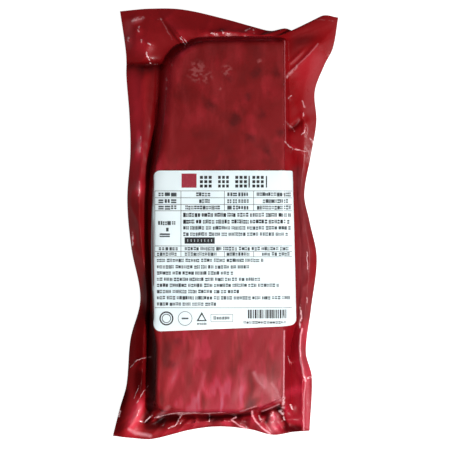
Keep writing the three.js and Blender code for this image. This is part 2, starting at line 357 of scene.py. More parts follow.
OUTLINE = Contour(
    sides={
        Side.NEAR: Curve((
            (-74.4, -140), (-60, -141.6), (-48, -142), (-22, -135.6), (-4, -133.6), (16, -135.4),
            (32, -139.2), (45, -137.3), (55.9, -136.5),
        )),
        Side.RIGHT: Curve((
            (-136.5, 55.9), (-101, 57.4), (-84, 53.4), (-55, 56.9), (-22, 60.6), (2, 55.8), (20, 52.3),
            (47, 56.9), (68, 60.3), (88, 59.2), (105, 65.4), (116, 70.9), (136, 74.3),
        )),
        Side.FAR: Curve((
            (-69.2, 140.4), (-50, 142), (-28, 141.4), (0, 135.2), (20, 129.6), (30, 127.3), (39.5, 128.9),
            (45, 127.2), (52, 129), (63.5, 137.1), (74.3, 136),
        )),
        Side.LEFT: Curve((
            (-140, -74.4), (-121, -69.6), (-106, -65.4), (-76, -62.8), (-49, -56.2), (-15, -62.2),
            (16, -64.8), (48, -62.7), (73, -63.3), (98, -65.2), (113, -65.4), (140.4, -69.2),
        )),
    },
    corners=(
        Corner((-74.4, -140)), Corner((55.9, -136.5)), Corner((74.3, 136)), Corner((-69.2, 140.4)),
    ),
)

SLAB_RIM = Contour(
    sides={
        Side.NEAR: Curve(((-44, -121.6), (0, -122), (14, -121), (26, -118), (37.2, -112.4))),
        Side.RIGHT: Curve(((-112.4, 37.2), (-60, 37.9), (30, 38.2), (118.4, 37.8))),
        Side.FAR: Curve(((-29, 118.4), (37.8, 118.4))),
        Side.LEFT: Curve((
            (-121.6, -44), (-93, -43.6), (-40, -42.4), (10, -41.4), (46, -39.4), (61, -37), (90, -33),
            (118.4, -29),
        )),
    },
    corners=(
        Corner((-44, -121.6), (6, 6)),
        Corner((37.2, -112.4), (1.4, 1.4)),
        Corner((37.8, 118.4), (1.4, 1.4)),
        Corner((-29, 118.4), (22, 15)),
    ),
)

SLAB_EDGE = Contour(
    sides={
        Side.NEAR: Curve(((-46.9, -123), (0, -123.3), (14, -122.3), (26, -119.2), (38.2, -113.6))),
        Side.RIGHT: Curve(((-113.6, 38.2), (-60, 38.7), (30, 39), (120.6, 38.7))),
        Side.FAR: Curve(((-34.5, 120.6), (38.7, 120.6))),
        Side.LEFT: Curve((
            (-123, -46.9), (-93, -45.8), (-76, -45.8), (-66, -46.9), (30, -46.8), (40, -45), (48, -43),
            (61, -41), (90, -37.5), (120.6, -34.5),
        )),
    },
    corners=(
        Corner((-46.9, -123), (8, 8)),
        Corner((38.2, -113.6), (2, 2)),
        Corner((38.7, 120.6), (2, 2)),
        Corner((-34.5, 120.6), (26, 18)),
    ),
)

SLAB_FOOT = Contour(
    sides={
        Side.NEAR: Curve(((-53.5, -127.6), (-20, -127), (0, -126.8), (20, -125.6), (43.6, -120))),
        Side.RIGHT: Curve((
            (-120, 43.6), (-95, 43.2), (-78, 44.2), (-60, 47.8), (-20, 49.8), (0, 49), (20, 47.3),
            (44, 46.5), (57, 43), (90, 42.2), (122.2, 41.2),
        )),
        Side.FAR: Curve(((-42.5, 122.2), (41.2, 122.2))),
        Side.LEFT: Curve((
            (-127.6, -53.5), (-103, -52), (-74, -51), (-50, -49.6), (-30, -49.8), (-3, -51.5), (27, -50.5),
            (42, -48.5), (61, -45.5), (80, -44), (122.2, -42.5),
        )),
    },
    corners=(
        Corner((-53.5, -127.6), (10, 10)),
        Corner((43.6, -120), (5, 5)),
        Corner((41.2, 122.2), (3, 3)),
        Corner((-42.5, 122.2), (30, 22)),
    ),
)

FOOT_HEIGHT = Curve((
    (0, 5), (0.5, 6), (1, 7), (1.12, 6), (1.2, 7), (1.3, 10), (1.6, 11.5), (1.68, 10), (1.76, 11),
    (1.82, 13), (1.88, 16), (2, 20), (2.2, 20), (2.5, 19.5), (2.8, 19), (3, 16.5), (3.1, 15), (3.2, 14),
    (3.3, 11), (3.5, 8.5), (3.75, 6), (3.9, 5), (4, 5),
))
OUTER_HEIGHT = Curve((
    (0, 3), (0.2, 4), (0.5, 6), (0.75, 5), (1, 5), (1.12, 5), (1.2, 7), (1.4, 7), (1.57, 10), (1.7, 8.5),
    (1.8, 10), (1.9, 13), (2, 18), (2.1, 18), (2.2, 18), (2.35, 16.5), (2.5, 16), (2.75, 16), (3, 14),
    (3.12, 11), (3.2, 10), (3.3, 7), (3.5, 4), (3.66, 4), (3.75, 2), (3.87, 1.8), (4, 3),
))
# How far the film's ridge stands above the line from its foot to its edge, and how far out the ridge is
RIDGE_HEIGHT = Curve((
    (0, 2), (0.1, 2), (0.9, 2), (1, 2), (1.1, 3), (1.2, 4), (1.35, 2.5), (1.6, 1.5), (1.72, 1.5),
    (1.9, 1), (2.1, 0.4), (2.3, 0.7), (2.6, 0.9), (2.9, 1), (3, 1.5), (3.1, 2.6), (3.2, 3), (3.5, 5),
    (3.65, 3.6), (3.8, 3.6), (3.95, 2.6), (4, 2),
))
RIDGE_PLACE = Curve((
    (0, 0.3), (0.2, 0.4), (0.8, 0.4), (1, 0.5), (1.2, 0.6), (1.5, 0.5), (2, 0.5), (2.4, 0.3), (2.9, 0.35),
    (3.1, 0.45), (3.3, 0.45), (3.6, 0.35), (3.8, 0.22), (4, 0.3),
))
# How far the slab's left edge lies below its face, along Y. It is least under the label
LEFT_DROP = Curve((
    (-120, 3), (-85, 3), (-70, 1.1), (-60, 1), (30, 1), (40, 1.3), (55, 1.8), (118, 1.8),
))
# How much of the broad crumpling shows
CRUMPLING = Curve((
    (0, 0.6), (0.5, 0.9), (0.95, 0.8), (1.2, 1), (1.6, 0.7), (1.75, 0.25), (2.1, 0.2), (2.4, 0.5),
    (2.7, 0.6), (3, 0.4), (3.4, 0.8), (3.8, 0.6), (4, 0.6),
))
# How deep the small radial puckers are
PUCKER_DEPTH = Curve((
    (0, 0.3), (0.15, 0.7), (0.3, 1.6), (0.9, 1.6), (1, 0.7), (1.1, 0.3), (1.25, 0.5), (1.4, 0.2),
    (1.75, 0.15), (2, 0.1), (2.2, 0.2), (2.7, 0.25), (3, 0.1), (3.1, 0.1), (3.8, 0.15), (4, 0.3),
))

FOLDS = (
    # The far left flap: the crease under it, its bulge and the pleats that run to its edge
    Fold(((-66, 106.4), (-55, 105.2), (-43.5, 105.6)), -4.5, 2.0, 4.2, power=1.2, ends=0.6),
    Fold(((-62, 128), (-56, 118), (-50, 111)), 2, 6, power=2),
    Fold(((-24, 117.5), (-31, 126), (-41, 138)), 2.2, 1.2, 2.6, power=1.0, ends=0.35),
    Fold(((-28, 118.5), (-34, 126)), 1.2, 0.8, 1.4, power=1.0),
    # The far side's long roll and the hollow inside it
    Fold(((-15, 125.5), (4, 126.5), (22, 124.6)), 1.4, 1.8),
    Fold(((-25, 122.2), (5, 122.6), (28, 122.4)), -0.6, 0.9, power=1.2, ends=0.2),
    # The far right flap
    Fold(((40.2, 97), (52, 109), (61.5, 119.4)), 1.9, 1.4, 9, power=1.1, ends=0.25),
    Fold(((40.6, 104), (47, 110), (53, 116)), 1.2, 1.0),
    # The right side beside the upper half of the slab
    Fold(((40.2, 60.5), (46, 64.5), (53, 70.8)), -1.5, 1.6, 2.4),
    Fold(((39.2, 55.6), (46, 51), (52.4, 47.6)), 1.6, 1.2, power=1.1),
    Fold(((50.8, 74), (51.8, 66), (52.2, 58)), 0.9, 1.0),
    # The right side beside the lower half
    Fold(
        ((50.2, -66), (49.3, -76), (49.1, -84.2), (51.2, -93.4), (54.7, -102.2)),
        3, 1.6, 2.2, power=1.1, ends=0.5,
    ),
    Fold(((53.2, -66), (53.9, -78), (54.2, -88)), 1.2, 1.0),
    Fold(((39.6, -86), (41.5, -88.5), (43.6, -93)), 1.2, 0.9, power=1.1),
    Fold(((51, -102), (51, -118), (51.4, -136.6)), 1.3, 1.1, power=1.1, ends=0.8),
    # The left side: the groove beside the slab and the creases by its lower half
    Fold(((-44.4, 106), (-45, 84), (-47.5, 58), (-50.5, 30)), -2.4, 1.2, power=1.2, ends=0.5),
    Fold(((-63.5, -97), (-58, -89.5), (-49.4, -86.6)), 1.2, 0.8, power=1.0, ends=0.4),
    Fold(((-56.6, -106.6), (-58, -110.5), (-60.6, -116)), 0.7, 0.6, power=1.0),
    Fold(((-51.6, -106.8), (-54, -111.5), (-58.9, -118.4)), 0.8, 0.6, power=1.0),
    # The near left flap
    Fold(((-52, -114.5), (-57, -124), (-66, -139)), 3.4, 3.4, 6.5, power=1.2, ends=0.5),
    Fold(((-37, -123.6), (-45, -128), (-53.4, -132.4)), 2.4, 1.3, 1.8, power=1.1, ends=0.4),
    # The near side's deeper creases
    Fold(((-28.6, -124.8), (-31.5, -131)), 1.8, 1.1, power=1.2),
    Fold(((-19.2, -124.6), (-19.6, -131.5)), 1.6, 1.3),
    Fold(((-11.5, -125), (-10.2, -130)), -1.4, 1.5),
    Fold(((-3, -126.2), (1, -131)), 1.6, 1.3, 2, power=1.1),
    Fold(((4.2, -129), (9.8, -133), (17.1, -136.8)), 2.2, 1.2, 2.2, power=1.1),
    Fold(
        ((17.2, -121.6), (18.1, -126.4), (20.4, -130), (29.6, -138.3)),
        3, 1.4, 2.8, power=1.1, ends=0.4,
    ),
    Fold(((22.4, -120.8), (24.6, -127)), -2.6, 1.7),
    Fold(((27.6, -119.6), (31.4, -126.4)), 2.2, 2.2),
    Fold(((34.4, -116.8), (36, -123)), -2.6, 1.7),
    Fold(((38.6, -116.4), (40.4, -124.6)), 2.6, 1.5, power=1.2),
)

DIMPLES = each(
    Dimple,
    ((-58.5, 135.3), 2.4, 0.9), ((-56.8, 128), 2.0, 0.8), ((-63.8, 121.8), 1.8, 0.7),
    ((-55, 120.4), 1.8, 0.7), ((-49.3, 118.2), 2.4, 0.9), ((-51.3, 110.2), 2.2, 0.9),
    ((-8, 125), 1.8, 0.8), ((-2, 126.4), 1.5, 0.7), ((16, 127.6), 1.6, 0.8), ((18.9, 127), 1.4, 0.7),
    ((42.7, 83.8), 1.2, 0.4), ((51.9, 78.2), 1.1, 0.4), ((50.8, 72.3), 1.3, 0.5),
    ((52.3, 63), 1.2, 0.5), ((-56.5, 50.5), 3.0, 0.8), ((-56.9, 25), 3.0, 0.9), ((-62.1, -9), 2.0, 0.7),
    ((-56.2, -94.7), 1.8, 0.8), ((55.3, -101.3), 1.8, 0.8), ((42.7, -90.4), 1.8, 0.8),
)

def patch(amount: float, width: float, power: float, ends: float, *path: tuple[float, float]) -> Fold:
    """A patch of film along a path, where an amount is added to its painted light and shade or its
    dullness, instead of its height.
    """
    return Fold(path, amount, width, power=power, ends=ends)


# Painted shade and painted light: where the film is painted darker or paler than its folds alone make it
PAINTED_LIGHT_AND_SHADE = (
    # Painted shade in the left hollow and the film outside it; painted light on the upper walls and the
    # left seal
    patch(-4.8, 3.4, 3, 0.9, (-48.2, -60), (-48.4, -95), (-47.6, -120)),
    patch(-2.2, 3.6, 2, 0.8, (-54.5, -60), (-55.5, -85), (-56, -108)),
    patch(-2.2, 5.0, 2, 0.9, (-62, -60), (-64, -90), (-69, -118)),
    patch(-3.4, 4.2, 3, 0.9, (-68, -112), (-70, -124), (-71, -137)),
    patch(-2.4, 4.0, 3, 0.9, (-57, -100), (-57, -110)),
    patch(
        2.6, 3.0, 2, 0.7,
        (-44.5, 30), (-42, 62), (-38, 90), (-31, 111), (-14, 121), (8, 121.6), (30, 121.6),
    ),
    patch(2.8, 5.4, 2, 0.8, (-60, 100), (-58, 70), (-58, 24)),
    patch(3.4, 2.0, 2, 0.3, (-56.4, 62), (-57, 43)),
    patch(3.2, 2.0, 2, 0.3, (-56.6, 31), (-57.2, 15)),
    patch(3.2, 1.6, 2, 0.3, (-61.4, -3), (-61, -15)),
    patch(-1.3, 4.0, 2, 0.8, (-20, 117), (36, 117)),
    # The near left flap: painted light on its bright facet and painted shade on the film round it
    patch(2.8, 4.8, 4, 0.9, (-56, -120), (-58.4, -125), (-60, -131), (-60, -137)),
    patch(-5.6, 2.8, 3, 0.9, (-50.6, -117), (-51.4, -129)),
    patch(-4.4, 3.4, 3, 0.9, (-50.5, -133), (-42, -131.6)),
    patch(-5.2, 3.0, 3, 0.9, (-43, -128.4), (-32, -127.6)),
    patch(1.8, 1.5, 2, 0.6, (-46, -138.6), (-35, -136.8), (-20, -133.6)),
    patch(-1.0, 3.6, 2, 0.9, (-34, -131), (0, -131.6), (24, -134)),
    # The near side: painted shade in its dark pockets and painted light on its bright facets
    patch(-3.0, 2.0, 3, 0.9, (-27, -127), (-12, -127)),
    patch(2.0, 1.6, 2, 0.8, (-26, -131.6), (-12, -131.6)),
    patch(-4.5, 2.6, 3, 1.0, (-8.5, -127.5), (-2.5, -127.5)),
    patch(3.2, 2.0, 2, 1.0, (-1, -131), (3, -132)),
    patch(-5.5, 2.0, 3, 0.9, (1, -126), (9, -126.2), (16, -124.6)),
    patch(-1.8, 1.8, 2, 0.9, (9.6, -129), (15, -132)),
    patch(-4.6, 2.6, 3, 1.0, (26.6, -124.2), (33, -121.8)),
    patch(-4.0, 1.4, 3, 1.0, (28.6, -127), (27.4, -130)),
    patch(-3.6, 1.5, 3, 1.0, (35.6, -119.6), (36.6, -124.4)),
    patch(-4.0, 1.1, 2, 1.0, (37.4, -127), (40.6, -131.6)),
    patch(5.0, 1.1, 2, 0.7, (31.7, -123.6), (32.3, -128)),
    patch(1.6, 2.8, 3, 1.0, (32.6, -129.4), (33.4, -133)),
    patch(1.6, 2.6, 3, 1.0, (27, -135), (37, -134.6)),
    patch(-4.8, 2.8, 3, 1.0, (40.6, -134.8), (48.4, -135.4)),
    # The slab's near end: painted shade in dark wedges, saturated streaks painted darker and paler, and
    # painted light on a bright edge
    patch(-6.0, 2.0, 2, 0.9, (14.4, -120), (20.6, -114.6)),
    patch(-6.5, 2.6, 2, 0.6, (15.4, -97), (17.2, -106), (15.6, -116)),
    patch(-1.6, 6.0, 2, 0.8, (24, -80), (33, -96)),
    patch(-1.6, 3.4, 2, 0.6, (33, -92), (36, -104)),
    patch(-3.6, 2.0, 2, 0.6, (-41, -111), (-41.6, -117)),
    patch(-3.4, 1.4, 2, 0.8, (-36, -120.6), (-30, -121)),
    patch(3.2, 2.4, 2, 0.4, (-29, -89), (-33, -99), (-36.6, -107)),
    patch(3.2, 1.9, 2, 0.4, (-13.2, -98), (-15, -107), (-18, -115)),
    patch(-2.6, 2.6, 2, 0.4, (-24, -94), (-23.4, -108)),
    patch(0.6, 3.0, 2, 0.5, (-4, -112), (-2, -121)),
    patch(0.8, 3.0, 2, 0.5, (7, -106), (10, -117)),
    patch(1.0, 3.6, 2, 0.4, (-20, -119), (10, -119.4)),
    patch(-3.4, 3.2, 2, 0.5, (-36.4, -74), (-38, -84), (-40.6, -93)),
    patch(-1.6, 2.4, 2, 0.4, (-24, -70), (-26, -84), (-34, -98)),
    patch(-3.0, 2.4, 2, 0.4, (-6, -84), (-9.5, -95), (-12.4, -105)),
    patch(-1.8, 2.6, 2, 0.4, (6, -66), (2, -84), (4, -98)),
    # The right side: painted light on paler strips and painted shade on the deep red wall beside the slab
    patch(-2.0, 5.0, 3, 0.9, (47.6, 34), (50.4, 4), (50, -58)),
    patch(-0.8, 4.0, 3, 0.9, (57, 34), (58, 4), (57, -50)),
    patch(3.0, 2.4, 2, 0.8, (55, -66), (55.5, -80), (56.5, -98)),
    patch(1.4, 2.2, 2, 0.9, (54, -104), (54.4, -134)),
    patch(-0.8, 3.0, 2, 0.6, (44, -74), (45, -100)),
    patch(1.8, 3.0, 3, 0.9, (42, -111), (48, -109)),
    # The far right flap: painted light on its paler facet, painted shade in its dark triangle and the
    # hollow beside the slab
    patch(0.6, 5.0, 2, 0.5, (47, 90), (54, 100), (63, 112)),
    patch(-2.6, 4.0, 2, 0.5, (43, 120), (52, 121), (61, 122.4)),
    patch(-1.2, 4.0, 2, 0.5, (41, 112), (48, 117)),
    patch(-1.0, 3.5, 2, 0.5, (43.5, 96), (43.5, 80)),
    patch(-2.0, 1.5, 2, 0.4, (40.5, 61), (46, 64.6), (52, 69)),
    # Painted shade along the far left flap's pleats
    patch(-2.2, 0.9, 2, 0.5, (-41, 134.6), (-33, 123.6), (-28, 117.6)),
    patch(-1.4, 0.9, 2, 0.4, (-34, 130), (-29, 122)),
)

# Where the film shines less
DULL = (
    patch(0.9, 4.0, 3, 1.0, (-55, -55), (-55.5, -85), (-55, -112)),
    patch(0.8, 8.0, 3, 1.0, (52, 98), (60, 112), (67, 124)),
    patch(0.9, 8.0, 4, 1.0, (54, 84), (57, 92), (62, 106)),
    patch(0.7, 7.0, 3, 0.8, (47, 100), (48, 84), (50, 68)),
    patch(0.7, 3.0, 3, 1.0, (-66, 106), (-42, 106)),
    patch(0.8, 4.0, 3, 1.0, (24, 126), (40, 126)),
    patch(0.45, 3.4, 3, 1.0, (-14, 126), (4, 127), (22, 125)),
    patch(0.85, 4.0, 3, 1.0, (42, 63), (51, 70)),
    patch(0.85, 4.6, 3, 1.0, (41.6, -117), (41.6, -131)),
)


@dataclass(frozen=True)
class HighlightLine:
    """A thin painted highlight along a crease, fold or edge of the film: its path, width and strength."""

    path: Pairs
    width: float
    strength: float


# Painted highlights: long even lines along the pack's edges and folds, and painted hazy reflection
PAINTED_EDGE_HIGHLIGHTS = each(
    HighlightLine,
    (((39, 120.5), (39.2, 82.2), (39.5, 55.1)), 0.5, 0.32),
    (((38.6, -69.6), (38.4, -92.7), (38.2, -113.2)), 0.95, 1.0),
    (((50.8, -68.8), (49.6, -73), (49.1, -80), (49.6, -88), (51.6, -98.4), (53.2, -103.4)), 1.0, 1.0),
    (((53.2, -103.4), (52, -115.8), (52, -136.3)), 0.8, 0.5),
    (((40.4, 96.6), (44, 101.4), (49.4, 106.4), (54, 110.6), (58.4, 115.4), (61, 118.6)), 0.8, 0.24),
    (((17.7, -122.4), (18.1, -126.4), (20.4, -130), (24.3, -134.3), (29.6, -138.3)), 1.0, 1.0),
    (((7.2, -127.4), (4.2, -129), (9.8, -133), (17.1, -136.6)), 0.8, 0.8),
    (((9.8, -122.4), (20.4, -118.8)), 0.7, 0.7),
    (((24.3, -123.1), (29.6, -120.8), (35.5, -118.1)), 0.8, 0.5),
    # Painted hazy reflection and pale highlight streaks on the slab and the near left flap
    (((23.4, -100.4), (28.6, -107.4), (34, -113.6)), 4.8, 0.34),
    (((19, -97), (21.4, -101.6), (26, -106.6)), 2.2, 0.5),
    (((30.5, -104), (34.2, -109.8), (36, -115)), 2.0, 0.45),
    (((-43.6, -126.4), (-37, -119.4)), 2.4, 0.3),
    (((-13.6, -97), (-15.4, -105), (-17.6, -112)), 2.0, 0.14),
    (((-63.4, -135.4), (-59, -138.2), (-49.6, -139.8)), 2.0, 0.5),
    # Soft strips of painted sheen on the seals
    (((-63.6, 132), (-64.4, 118)), 5.0, 0.06),
    (((-61, 133.4), (-56, 135)), 3.0, 0.12),
    (((62, 108), (56.6, 78)), 9.0, 0.06),
    (((48, 34), (51.4, 4), (51, -60)), 8.0, 0.045),
    (((-20, -131), (24, -132)), 5.0, 0.02),
    (((32.4, -128), (31, -135)), 5.4, 0.2),
    (((54.4, -104), (54.4, -134)), 2.6, 0.14),
)

# Painted glints and fine painted highlight lines along creases, all a little ragged
PAINTED_GLINTS = each(
    HighlightLine,
    # The left side's lower half
    (((-62.8, -94.7), (-58.2, -89.4), (-48.9, -87.1)), 0.4, 0.7),
    (((-60.2, -115.2), (-56.9, -106.6)), 0.4, 0.6),
    (((-58.5, -118.1), (-54.9, -111.9), (-50.6, -106.3)), 0.4, 0.7),
    (((-69.8, -123.6), (-70.4, -127)), 0.9, 0.9),
    # Along the slab's near edge
    (((-46.3, -127.7), (-35.7, -124.4), (-26.5, -123.4)), 0.6, 0.9),
    (((-31, -125.2), (-19.6, -123.2)), 0.8, 0.6),
    (((-26.5, -123.4), (-13.3, -123.8), (-0.1, -123.1)), 0.5, 0.8),
    # The near side
    (((-53.4, -131), (-48.2, -126.4)), 0.6, 1.0),
    (((-28.1, -124.4), (-30.1, -128.4), (-33, -132.8), (-37.6, -134.8)), 0.6, 0.7),
    (((-10.3, -124.4), (-10.3, -130.3)), 0.5, 0.7),
    (((22.4, -126.6), (24, -130)), 1.0, 0.7),
    (((31.5, -124), (32.4, -129)), 0.8, 0.5),
    # The right side's lower half
    (((41.2, -86.8), (42.8, -91.1)), 0.5, 0.9),
    (((54.4, -101.3), (57.1, -101.3)), 1.0, 1.0),
    (((43.1, -119.1), (44.5, -122.4)), 0.9, 1.0),
    (((38.4, -113.6), (38.4, -121)), 1.6, 0.7),
    (((36.8, -123.6), (37.8, -124.8)), 1.8, 0.8),
    (((38, -125.4), (39, -128.6)), 1.0, 0.7),
    # The right side's upper half and the far right flap
    (((60.5, 134.4), (74.1, 133.7)), 0.4, 0.12),
    (((40.6, 97), (47, 104)), 1.5, 0.28),
    (((41.5, 82.8), (43.3, 84.8)), 0.8, 0.45),
    (((50.8, 81.4), (52.4, 77.4)), 0.7, 0.36),
    (((51.6, 73.6), (51.6, 71.6)), 0.8, 0.7),
    (((52.8, 64), (52.4, 61), (50.6, 59.4)), 0.7, 0.7),
    (((56.4, 57), (58.4, 53)), 0.8, 0.6),
    (((39.5, 67.7), (43.5, 64.4), (45.4, 61.7)), 0.8, 0.18),
    (((39.2, 54.2), (42.3, 51.2), (47.4, 49.2), (53, 48.1)), 0.6, 0.7),
    (((53.9, -18.2), (54.4, -29.4)), 0.5, 0.7),
    (((49.4, -53.1), (50.4, -59.7), (49.1, -67.7)), 0.8, 0.9),
    (((53.9, -47.9), (54, -52.5)), 0.5, 0.6),
    # The left side's upper half
    (((-55.7, 57.8), (-56.2, 47.9)), 0.8, 0.5),
    (((-56.5, 28.7), (-56.9, 18.8)), 0.8, 0.5),
    (((-61.5, -5.6), (-61.1, -13.5)), 0.8, 0.9),
    (((-57.8, -48.5), (-58.2, -59.1)), 0.6, 0.6),
    # The far left flap and the far side
    (((-29.8, 122.8), (-25.8, 118.1)), 0.5, 1.0),
    (((-28.4, 123.4), (-24.6, 119)), 0.4, 0.8),
    (((-42.7, 135.6), (-35.1, 121.8)), 0.7, 0.12),
    (((-60.8, 134), (-57.2, 135.6), (-54, 135.9)), 1.4, 0.45),
    (((-51.8, 113), (-50.5, 109.4), (-49.1, 106.4)), 0.6, 0.9),
    (((-56.9, 129.7), (-56.7, 127)), 1.2, 0.6),
    (((-63.7, 122.8), (-63.5, 121)), 1.2, 0.5),
    (((-55, 121.4), (-54.8, 119.6)), 0.9, 0.5),
    (((-50.6, 118.8), (-47.9, 117.7)), 0.9, 0.8),
    (((-44, 135.4), (-42, 134.6)), 1.0, 0.5),
    (((-9, 125.7), (-7, 124.4)), 0.9, 0.8),
    (((-2.4, 127.1), (-1.4, 125.1)), 0.8, 0.7),
    (((13.4, 127.4), (16.4, 128.7)), 0.8, 0.6),
    (((18.7, 127.7), (18.8, 125.7)), 0.8, 0.6),
    # Painted pale glint dots beside the slab's far left edge
    (((-38.4, 96), (-38.2, 94.6)), 0.9, 0.18),
    (((-38.4, 89.8), (-38.4, 88.6)), 0.9, 0.18),
    (((-38, 80.6), (-38, 79.4)), 0.9, 0.2),
)


@dataclass(frozen=True)
class PackForm:
    """The form of the sealed pack, which the film, the slab and the label are all fitted to."""

    thickness: float = 26.0
    crown_across: float = 1.0
    crown_along: float = 1.6
    half_width: float = 42.0
    half_length: float = 121.0
    drop_right: float = 0.9
    underside_lift: float = 1.2
    lowest_film: float = 1.5
    film_thickness: float = 0.25
    wall_curve: float = 1.1
    underside_curve: float = 1.3
    corner_crowding: float = 0.3
    ridge_round: float = 0.07

    # The face's long swell, its lumps and the leaning streaks near its near end
    swell: float = 0.35
    swell_across: float = 0.09
    swell_along: float = 0.05
    swell_start: float = 0.7
    swell_bend: float = 1.3
    bend_along: float = 0.035
    lumps: tuple[Lumps, ...] = (Lumps(0.5, (21, 27), 11), Lumps(0.14, (7, 8), 12))
    streaks: Lumps = Lumps(0.22, (6.5, 22), 13)
    streak_lean: float = 0.4
    streak_start: tuple[float, float] = (-62, -92)

    # The wall's pleats, and the seal's wrinkles, which run out from the slab or are broad or fine facets
    pleats: Lumps = Lumps(0.5, (4.5, 9), 31)
    girth: tuple[float, ...] = (0, 119, 387, 505, 785)
    warp: Lumps = Lumps(6, (17, 17), 25)
    radial: Wrinkles = Wrinkles(1.8, (8, 1.25), 21)
    broad: Wrinkles = Wrinkles(1.7, (17, 24), 22)
    fine: Wrinkles = Wrinkles(0.35, (7, 10), 24)
    wrinkled_from: float = 0.25
    calmer_from: float = 0.75
    calm_at_edge: float = 0.6

    @property
    def contours(self) -> tuple[Contour, Contour, Contour, Contour]:
        """The rim of the slab's face, its edge, its foot and the film's free edge."""
        return SLAB_RIM, SLAB_EDGE, SLAB_FOOT, OUTLINE

    def face_height(self, x: Array, y: Array) -> Array:
        """Works out the height of the slab's upper face, which is a little uneven.

        Args:
            x: X of the points.
            y: Y of the points.

        Returns:
            Their heights.
        """
        crown = self.crown_across * (x / self.half_width) ** 2
        ends = self.crown_along * (y / self.half_length) ** 4
        bend = self.swell_bend * np.sin(self.bend_along * y)
        swell = self.swell * np.sin(self.swell_across * x + bend)
        swell *= np.sin(self.swell_along * y + self.swell_start)
        lumps = sum(lump(x, y) for lump in self.lumps)
        streaks = self.streaks(x - self.streak_lean * y, y) * smooth_step(y, *self.streak_start)
        return self.thickness - crown - ends + swell + lumps + streaks

    def shoulder_drop(self, x: Array, y: Array) -> Array:
        """How far the slab's edge lies below its face."""
        left = LEFT_DROP(y)
        return left + (self.drop_right - left) * smooth_step(x, -self.half_width, self.half_width)

    def puckers(self, x: Array, y: Array, place: Array, t: Array) -> Array:
        """Works out the small wrinkles of the sealed film.

        Args:
            x: X of the points.
            y: Y of the points.
            place: Their places round the pack.
            t: How far each is from the slab's foot, at 0, to the free edge, at 1.

        Returns:
            The height that the wrinkles add.
        """
        warp = self.warp(x, y)
        round_pack = np.interp(place, range(len(self.girth)), self.girth) + warp
        puckers = PUCKER_DEPTH(place) * self.radial(round_pack, t)
        facets = self.broad(x + warp, y - warp) + self.fine(x - warp, y + warp)
        calm = self.calm_at_edge * smooth_step(t, self.calmer_from, 1)
        fade = smooth_step(t, 0, self.wrinkled_from) * (1 - calm)
        return fade * (puckers + CRUMPLING(place) * facets)

    def film(self, place: Array, across: Array) -> tuple[Array, Array, Array, Array, Array]:
        """Works out points of the film.

        Args:
            place: Places round the pack, from 0 to 4.
            across: 0 at the rim of the slab's face, 1 at its edge, 2 at its foot, 3 at the free edge.

        Returns:
            The points' X, Y, upper height, lower height and how far folds and wrinkles raise them.
        """
        band = np.minimum(across.astype(int), 2)
        t = across - band
        lines = [contour.point(place) for contour in self.contours]
        inner = [np.choose(band, [line[k] for line in lines[:3]]) for k in (0, 1)]
        outer = [np.choose(band, [line[k] for line in lines[1:]]) for k in (0, 1)]
        x, y = (a + (b - a) * t for a, b in zip(inner, outer))
        face, drop = self.face_height(x, y), self.shoulder_drop(x, y)
        foot, half = FOOT_HEIGHT(place), self.film_thickness / 2
        folds = sum(shape.height(x, y) for shape in (*FOLDS, *DIMPLES))

        shoulder_top = face - drop * t**2
        shoulder_bottom = self.underside_lift * np.maximum(2 * t - 1, 0) ** 2

        wall_folds = folds * t**2 + self.pleats(x, y) * np.sin(math.pi * t)
        wall_top = face - drop + (foot + half - face + drop) * t**self.wall_curve + wall_folds
        lift = self.underside_lift
        wall_bottom = lift + (foot - half - lift) * t**self.underside_curve + folds * t**2
        wall_bottom = np.clip(wall_bottom, lift, wall_top - self.film_thickness)

        crest, soft = RIDGE_PLACE(place), self.ridge_round
        gable = -soft * np.logaddexp(-t / crest / soft, (t - 1) / (1 - crest) / soft)
        wrinkles = self.puckers(x, y, place, t)
        middle = foot + (OUTER_HEIGHT(place) - foot) * t + RIDGE_HEIGHT(place) * np.maximum(gable, 0)
        middle = np.maximum(middle + folds + wrinkles, self.lowest_film)

        top = np.choose(band, [shoulder_top, wall_top, middle + half])
        bottom = np.choose(band, [shoulder_bottom, wall_bottom, middle - half])
        relief = np.choose(band, [0 * t, wall_folds, folds + wrinkles])
        return x, y, top, bottom, relief

    def face(self, u: Array, v: Array) -> tuple[Array, Array, Array, Array, Array]:
        """Works out points of the slab's face, inside its rim.

        Args:
            u: How far across, from -1 to 1.
            v: How far along, from -1 to 1.

        Returns:
            The same as for film.
        """
        rim = self.contours[0]
        s, t = (u + 1) / 2, (v + 1) / 2
        near, far = rim.point(self.crowded(s, 0)), rim.point(self.crowded(1 - s, 2))
        right, left = rim.point(self.crowded(t, 1)), rim.point(self.crowded(1 - t, 3))
        corners = rim.point(np.array([0.0, 1.0, 2.0, 3.0]))
        blended = []
        for k in (0, 1):
            a, b, c, d = corners[k]
            square = (a + (b - a) * s) * (1 - t) + (d + (c - d) * s) * t
            sides = near[k] + (far[k] - near[k]) * t + left[k] + (right[k] - left[k]) * s
            blended.append(sides - square)
        x, y = blended
        return x, y, self.face_height(x, y), np.zeros_like(x), np.zeros_like(x)

    def crowded(self, t: Array, start: int) -> Array:
        """Places along a side, closer together near its corners.

        Args:
            t: Even steps along the side, from 0 to 1.
            start: The place of the corner that the side starts from.

        Returns:
            The places, which stay below 4 so that the last side keeps its end.
        """
        crowd = self.corner_crowding * np.sin(2 * math.pi * t) / (2 * math.pi)
        return start + np.minimum(t - crowd, 1 - TINY)


FORM = PackForm()


